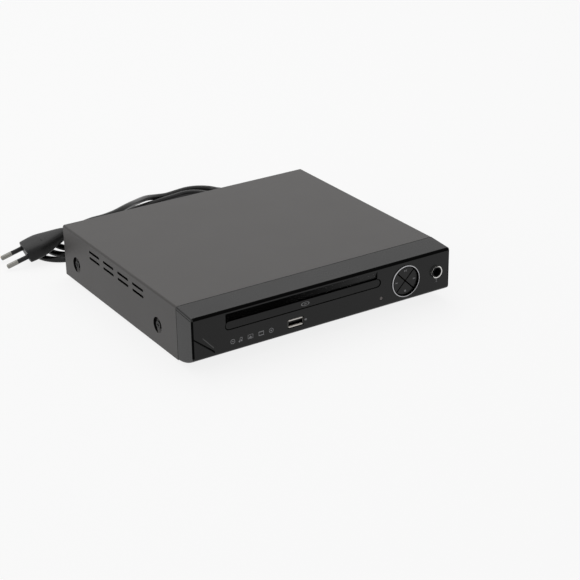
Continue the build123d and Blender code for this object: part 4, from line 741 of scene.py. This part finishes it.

# %% Painted shade along the seam between cover and front
seam_radius = 1.6
seam = bmesh.new()
cover_foot = 3.2
shoulder_x, shoulder_z = half_width - seam_radius, top_z - seam_radius
outline = [(-half_width, cover_foot)]
outline += [(-half_width + seam_radius - seam_radius * cos(radians(a)),
             shoulder_z + seam_radius * sin(radians(a))) for a in range(0, 91, 15)]
outline += [(-x, z) for x, z in reversed(outline)]
rings_of_seam = []
for x, z in outline:
    outward = Vector((0, 0, 1)) if abs(x) < shoulder_x - 0.01 else Vector((x / abs(x), 0, 0))
    if z > shoulder_z:
        outward = Vector((x - (x / abs(x)) * shoulder_x, 0, z - shoulder_z)).normalized()
    rings_of_seam.append([seam.verts.new((place(x, seam_y + dy, z) + outward * skin / 1000))
                          for dy, skin in ((-0.2, 0.03), (0.2, 0.03), (0.2, -0.1), (-0.2, -0.1))])
closed_tube(seam, rings_of_seam)
add_piece("seam_shade_line", seam, "shadow_black")
print("seam line made")

# %% Painted shade lining the cut edges of the air slots
slot_edges = bmesh.new()
slot_half, slot_round, slot_pitch, slots_middle, slot_steps = 8.5, 0.9, 23.8, 9.75, 16
outer_x, inner_x, in_wall, in_slot = 112.52, 111.7, -0.1, 0.06
corners = ((outer_x, in_wall), (outer_x, in_slot), (inner_x, in_slot), (inner_x, in_wall))
for side in (-1, 1):
    for row_z in (38.4, 33.3):
        for column in range(4):
            middle = slots_middle + (column - 1.5) * slot_pitch
            loop = []
            for step in range(slot_steps):
                angle = 2 * pi * step / slot_steps + pi / slot_steps
                end = (slot_half - slot_round) * (1 if cos(angle) > 0 else -1)
                loop.append((middle + end + slot_round * cos(angle), row_z + slot_round * sin(angle),
                             cos(angle), sin(angle)))
            rows = [[slot_edges.verts.new(place(side * x, y - skin * cy, z - skin * cz))
                     for y, z, cy, cz in loop] for x, skin in corners]
            join_rings(slot_edges, rows + rows[:1])
add_piece("air_slot_shade", slot_edges, "shadow_black")
print("air slots edged: 16")

# %% Painted shade in the hollow over the door
hollow = bmesh.new()
left_x, right_x = -85.2, 44.9
low_y, low_z, high_y, high_z = front_y + 1.57, 34.4, front_y + 0.05, 40.4


def on_slope(x, share, lift):
    """A place on the hollow's sloping back, from its lower edge at 0 to its upper one at 1."""
    return place(x, low_y + (high_y - low_y) * share - lift, low_z + (high_z - low_z) * share)


columns = (left_x, -40.0, 0.0, right_x)
skins = ((0, 0.03), (1, 0.03), (1, -0.1), (0, -0.1))
walls = [[hollow.verts.new(on_slope(x, share, lift)) for share, lift in skins] for x in columns]
closed_tube(hollow, walls)

# The sheet's alpha fades this painted shade from dark on the left to faint on the right.
fade_group, start, end = new_group("painted_shade_to_the_right", [("Darkest", 0.95), ("Lightest", 0.15)], ["Mask"])
spot = fade_group.nodes.new("ShaderNodeTexCoord")
sideways = fade_group.nodes.new("ShaderNodeSeparateXYZ")
fade = fade_group.nodes.new("ShaderNodeMapRange")
fade.inputs["From Min"].default_value = -0.045
fade.inputs["From Max"].default_value = 0.030
wire(fade_group, spot.outputs["Object"], sideways.inputs["Vector"])
wire(fade_group, sideways.outputs["X"], fade.inputs["Value"])
wire(fade_group, start.outputs["Darkest"], fade.inputs["To Min"])
wire(fade_group, start.outputs["Lightest"], fade.inputs["To Max"])
wire(fade_group, fade.outputs["Result"], end.inputs["Mask"])
fading = make_finish("painted_shade_fade", 2, 6, 0.9, specular=0.04)
veil = fading.node_tree.nodes.new("ShaderNodeGroup")
veil.node_tree = fade_group
wire(fading.node_tree, veil.outputs["Mask"], fading.node_tree.nodes["Principled BSDF"].inputs["Alpha"])
add_piece("hollow_shade", hollow, "painted_shade_fade")

print("hollow shaded from", left_x, "to", right_x, "mm")

# %% [markdown]
# Round things show their depth by a dark crescent. The jack's nut is in shade on its left, and each pressed
# screw seat on the side that turns away from the light. A crescent is a row of quads between two arcs that
# meet at its tips, made a thin sheet with a thickness.

# %% Helper for crescents


def crescent(bm, count, corner):
    """Quads between two arcs; corner tells the place of a step on the outer arc or the inner one."""
    for step in range(count):
        sides = ((step, True), (step, False), (step + 1, False), (step + 1, True))
        bm.faces.new([bm.verts.new(corner(index, inward)) for index, inward in sides])


def thicken(bm, thickness):
    """Join what touches and give the sheet a thickness in metres."""
    bmesh.ops.remove_doubles(bm, verts=bm.verts, dist=1e-7)
    bmesh.ops.solidify(bm, geom=bm.faces[:], thickness=thickness)


# %% Shaded side of the jack's nut
nut_steps, nut_reach = 20, 5.0


def nut_corner(index, inward):
    """A place on the nut's crescent, a little in front of its face."""
    angle = radians(75 + 160 * index / nut_steps)
    reach = nut_reach - (1.1 * sin(pi * index / nut_steps) + 0.02 if inward else 0)
    return place(jack_x + reach * cos(angle), front_y - 1.53, jack_z + reach * sin(angle))


nut_shade = bmesh.new()
crescent(nut_shade, nut_steps, nut_corner)
thicken(nut_shade, 0.0001)
add_piece("nut_shade", nut_shade, "shadow_black")
print("nut shaded")

# %% Shaded side of the screw seats
seat_steps, seat_reach, seat_depth = 16, 6.2, 1.7


def seat_corner(side, seat_y, seat_z, index, inward):
    """A place on the crescent of a screw seat; the inner arc lies deeper on the seat's cone."""
    angle = radians(95 - 185 * index / seat_steps)
    depth = 0.02 + (seat_depth * sin(pi * index / seat_steps) ** 0.7 if inward else 0)
    reach = seat_reach - depth * 1.125
    return place(side * (half_width - depth + 0.05), seat_y + reach * cos(angle), seat_z + reach * sin(angle))


seat_shade = bmesh.new()
for side in (-1, 1):
    for seat_y, seat_z in ((-54.65, 19.0), (78.95, 18.4)):
        crescent(seat_shade, seat_steps,
                 lambda index, inward: seat_corner(side, seat_y, seat_z, index, inward))
thicken(seat_shade, 0.00004)
add_piece("screw_seat_shade", seat_shade, "shadow_black")
print("screw seats shaded: 4")

# %% Inner half of the bright ring, in shade
inner_radius, outer_radius, ring_proud = 11.42, 11.95, 1.04
shade_ring = spun([(inner_radius, 0.0), (outer_radius, 0.0), (outer_radius, ring_proud),
                   (inner_radius, ring_proud), (inner_radius, 0.0)], 72)
aim(shade_ring, 90, place(ring_x, front_y, ring_z))
add_piece("ring_shade", shade_ring, "shadow_black")
print("black lines made")

# %% [markdown]
# The serial port's tongue has four gilt contacts, and the sockets at the rear have coloured rings round
# their barrels, so that a plug finds its place. Both are small but they are what the eye looks for.

# %% Contacts of the serial port
contact_count, contact_pitch = 4, 2.5
contacts = bmesh.new()
for contact in range(contact_count):
    contact_x = port_x - 3.75 + contact * contact_pitch
    add_box(contacts, (0.0011, 0.0066, 0.0001), place(contact_x, front_y + 5.6, port_z - 0.03))
soften(contacts, 0.00002, 1)
add_piece("port_contacts", contacts, "usb_gold")

# %% Lips of the serial port, in a pale finish as a painted highlight
lips = bmesh.new()
for side in (-1, 1):
    add_box(lips, (0.0118, 0.0016, 0.0008), place(port_x, front_y + 0.9, port_z + side * 2.58))
soften(lips, 0.0002, 2)
add_piece("port_lips", lips, "lip_painted_highlight")
print("contacts:", contact_count, "lips: 2")

# %% Coloured rings of the rear sockets
upper_row, lower_row = 35.0, 18.0
ring_finishes = (("ring_yellow", -66.0, upper_row), ("ring_green", -52.0, upper_row),
                 ("ring_blue", -38.0, upper_row), ("ring_white", -66.0, lower_row),
                 ("ring_red", -52.0, lower_row), ("ring_red", -38.0, lower_row))
collar_profile = [(4.25, 0.0), (6.3, 0.0), (6.3, 0.9), (6.0, 1.2), (4.6, 1.2), (4.25, 0.9), (4.25, 0.0)]
for index, (ring_finish, x, z) in enumerate(ring_finishes):
    collar = spun(collar_profile, 40)
    aim(collar, -90, place(x, rear_y - 0.28, z))
    add_piece("socket_ring_%d" % (index + 1), collar, ring_finish)
print("socket rings:", len(ring_finishes))

# %% [markdown]
# The studio is a white table and a white sky, with soft lamps from above. Black gloss shows mostly what it
# mirrors, so the table and the sky are white for camera, mirror and see-through rays, and the table keeps
# part of its own shading, which leaves a soft shadow under the player.

# %% White table
table = bmesh.new()
bmesh.ops.create_grid(table, x_segments=1, y_segments=1, size=4.0)
table_mesh = bpy.data.meshes.new("white_table")
table.to_mesh(table_mesh)
table.free()
white_table = bpy.data.objects.new("white_table", table_mesh)
bpy.context.scene.collection.objects.link(white_table)


def seen_directly(tree):
    """1 for camera, glossy and transmission rays, 0 for the light that bounces."""
    path = tree.nodes.new("ShaderNodeLightPath")
    mirror = calculate(tree, "MAXIMUM", path.outputs["Is Glossy Ray"], path.outputs["Is Transmission Ray"])
    return calculate(tree, "MAXIMUM", path.outputs["Is Camera Ray"], mirror)


table_paint = bpy.data.materials.new("table_white")
table_paint.use_nodes = True
tree = table_paint.node_tree
tree.nodes.remove(tree.nodes["Principled BSDF"])
matt = tree.nodes.new("ShaderNodeBsdfDiffuse")
matt.inputs["Color"].default_value = shade(238)
glow = tree.nodes.new("ShaderNodeEmission")
glow.inputs["Color"].default_value = (1.0, 1.0, 1.0, 1.0)
blend_node = tree.nodes.new("ShaderNodeMixShader")
wire(tree, calculate(tree, "MULTIPLY", seen_directly(tree), 0.84), blend_node.inputs["Fac"])
wire(tree, matt.outputs["BSDF"], blend_node.inputs[1])
wire(tree, glow.outputs["Emission"], blend_node.inputs[2])
wire(tree, blend_node.outputs["Shader"], tree.nodes["Material Output"].inputs["Surface"])
table_mesh.materials.append(table_paint)
print("table ready")

# %% White sky
sky = bpy.data.worlds.new("white_sky")
sky.use_nodes = True
bpy.context.scene.world = sky
tree = sky.node_tree
background = tree.nodes["Background"]
background.inputs["Color"].default_value = (1.0, 1.0, 1.0, 1.0)
strength = calculate(tree, "MULTIPLY", seen_directly(tree), 0.45)
wire(tree, calculate(tree, "ADD", strength, 0.55), background.inputs["Strength"])
print("sky ready")

# %% Soft lamps
lamps = (("lamp_above", (0.2, 0.7, 1.5), 1.4, 7.0), ("lamp_left", (-1.5, 0.5, 0.9), 1.0, 4.0))
for lamp_name, spot, size, watts in lamps:
    light = bpy.data.lights.new(lamp_name, "AREA")
    light.shape = "SQUARE"
    light.size = size
    light.energy = watts
    lamp = bpy.data.objects.new(lamp_name, light)
    bpy.context.scene.collection.objects.link(lamp)
    lamp.location = spot
    lamp.rotation_mode = "QUATERNION"
    lamp.rotation_quaternion = (-Vector(spot)).to_track_quat("-Z", "Y")
bpy.context.scene.view_settings.view_transform = "Standard"
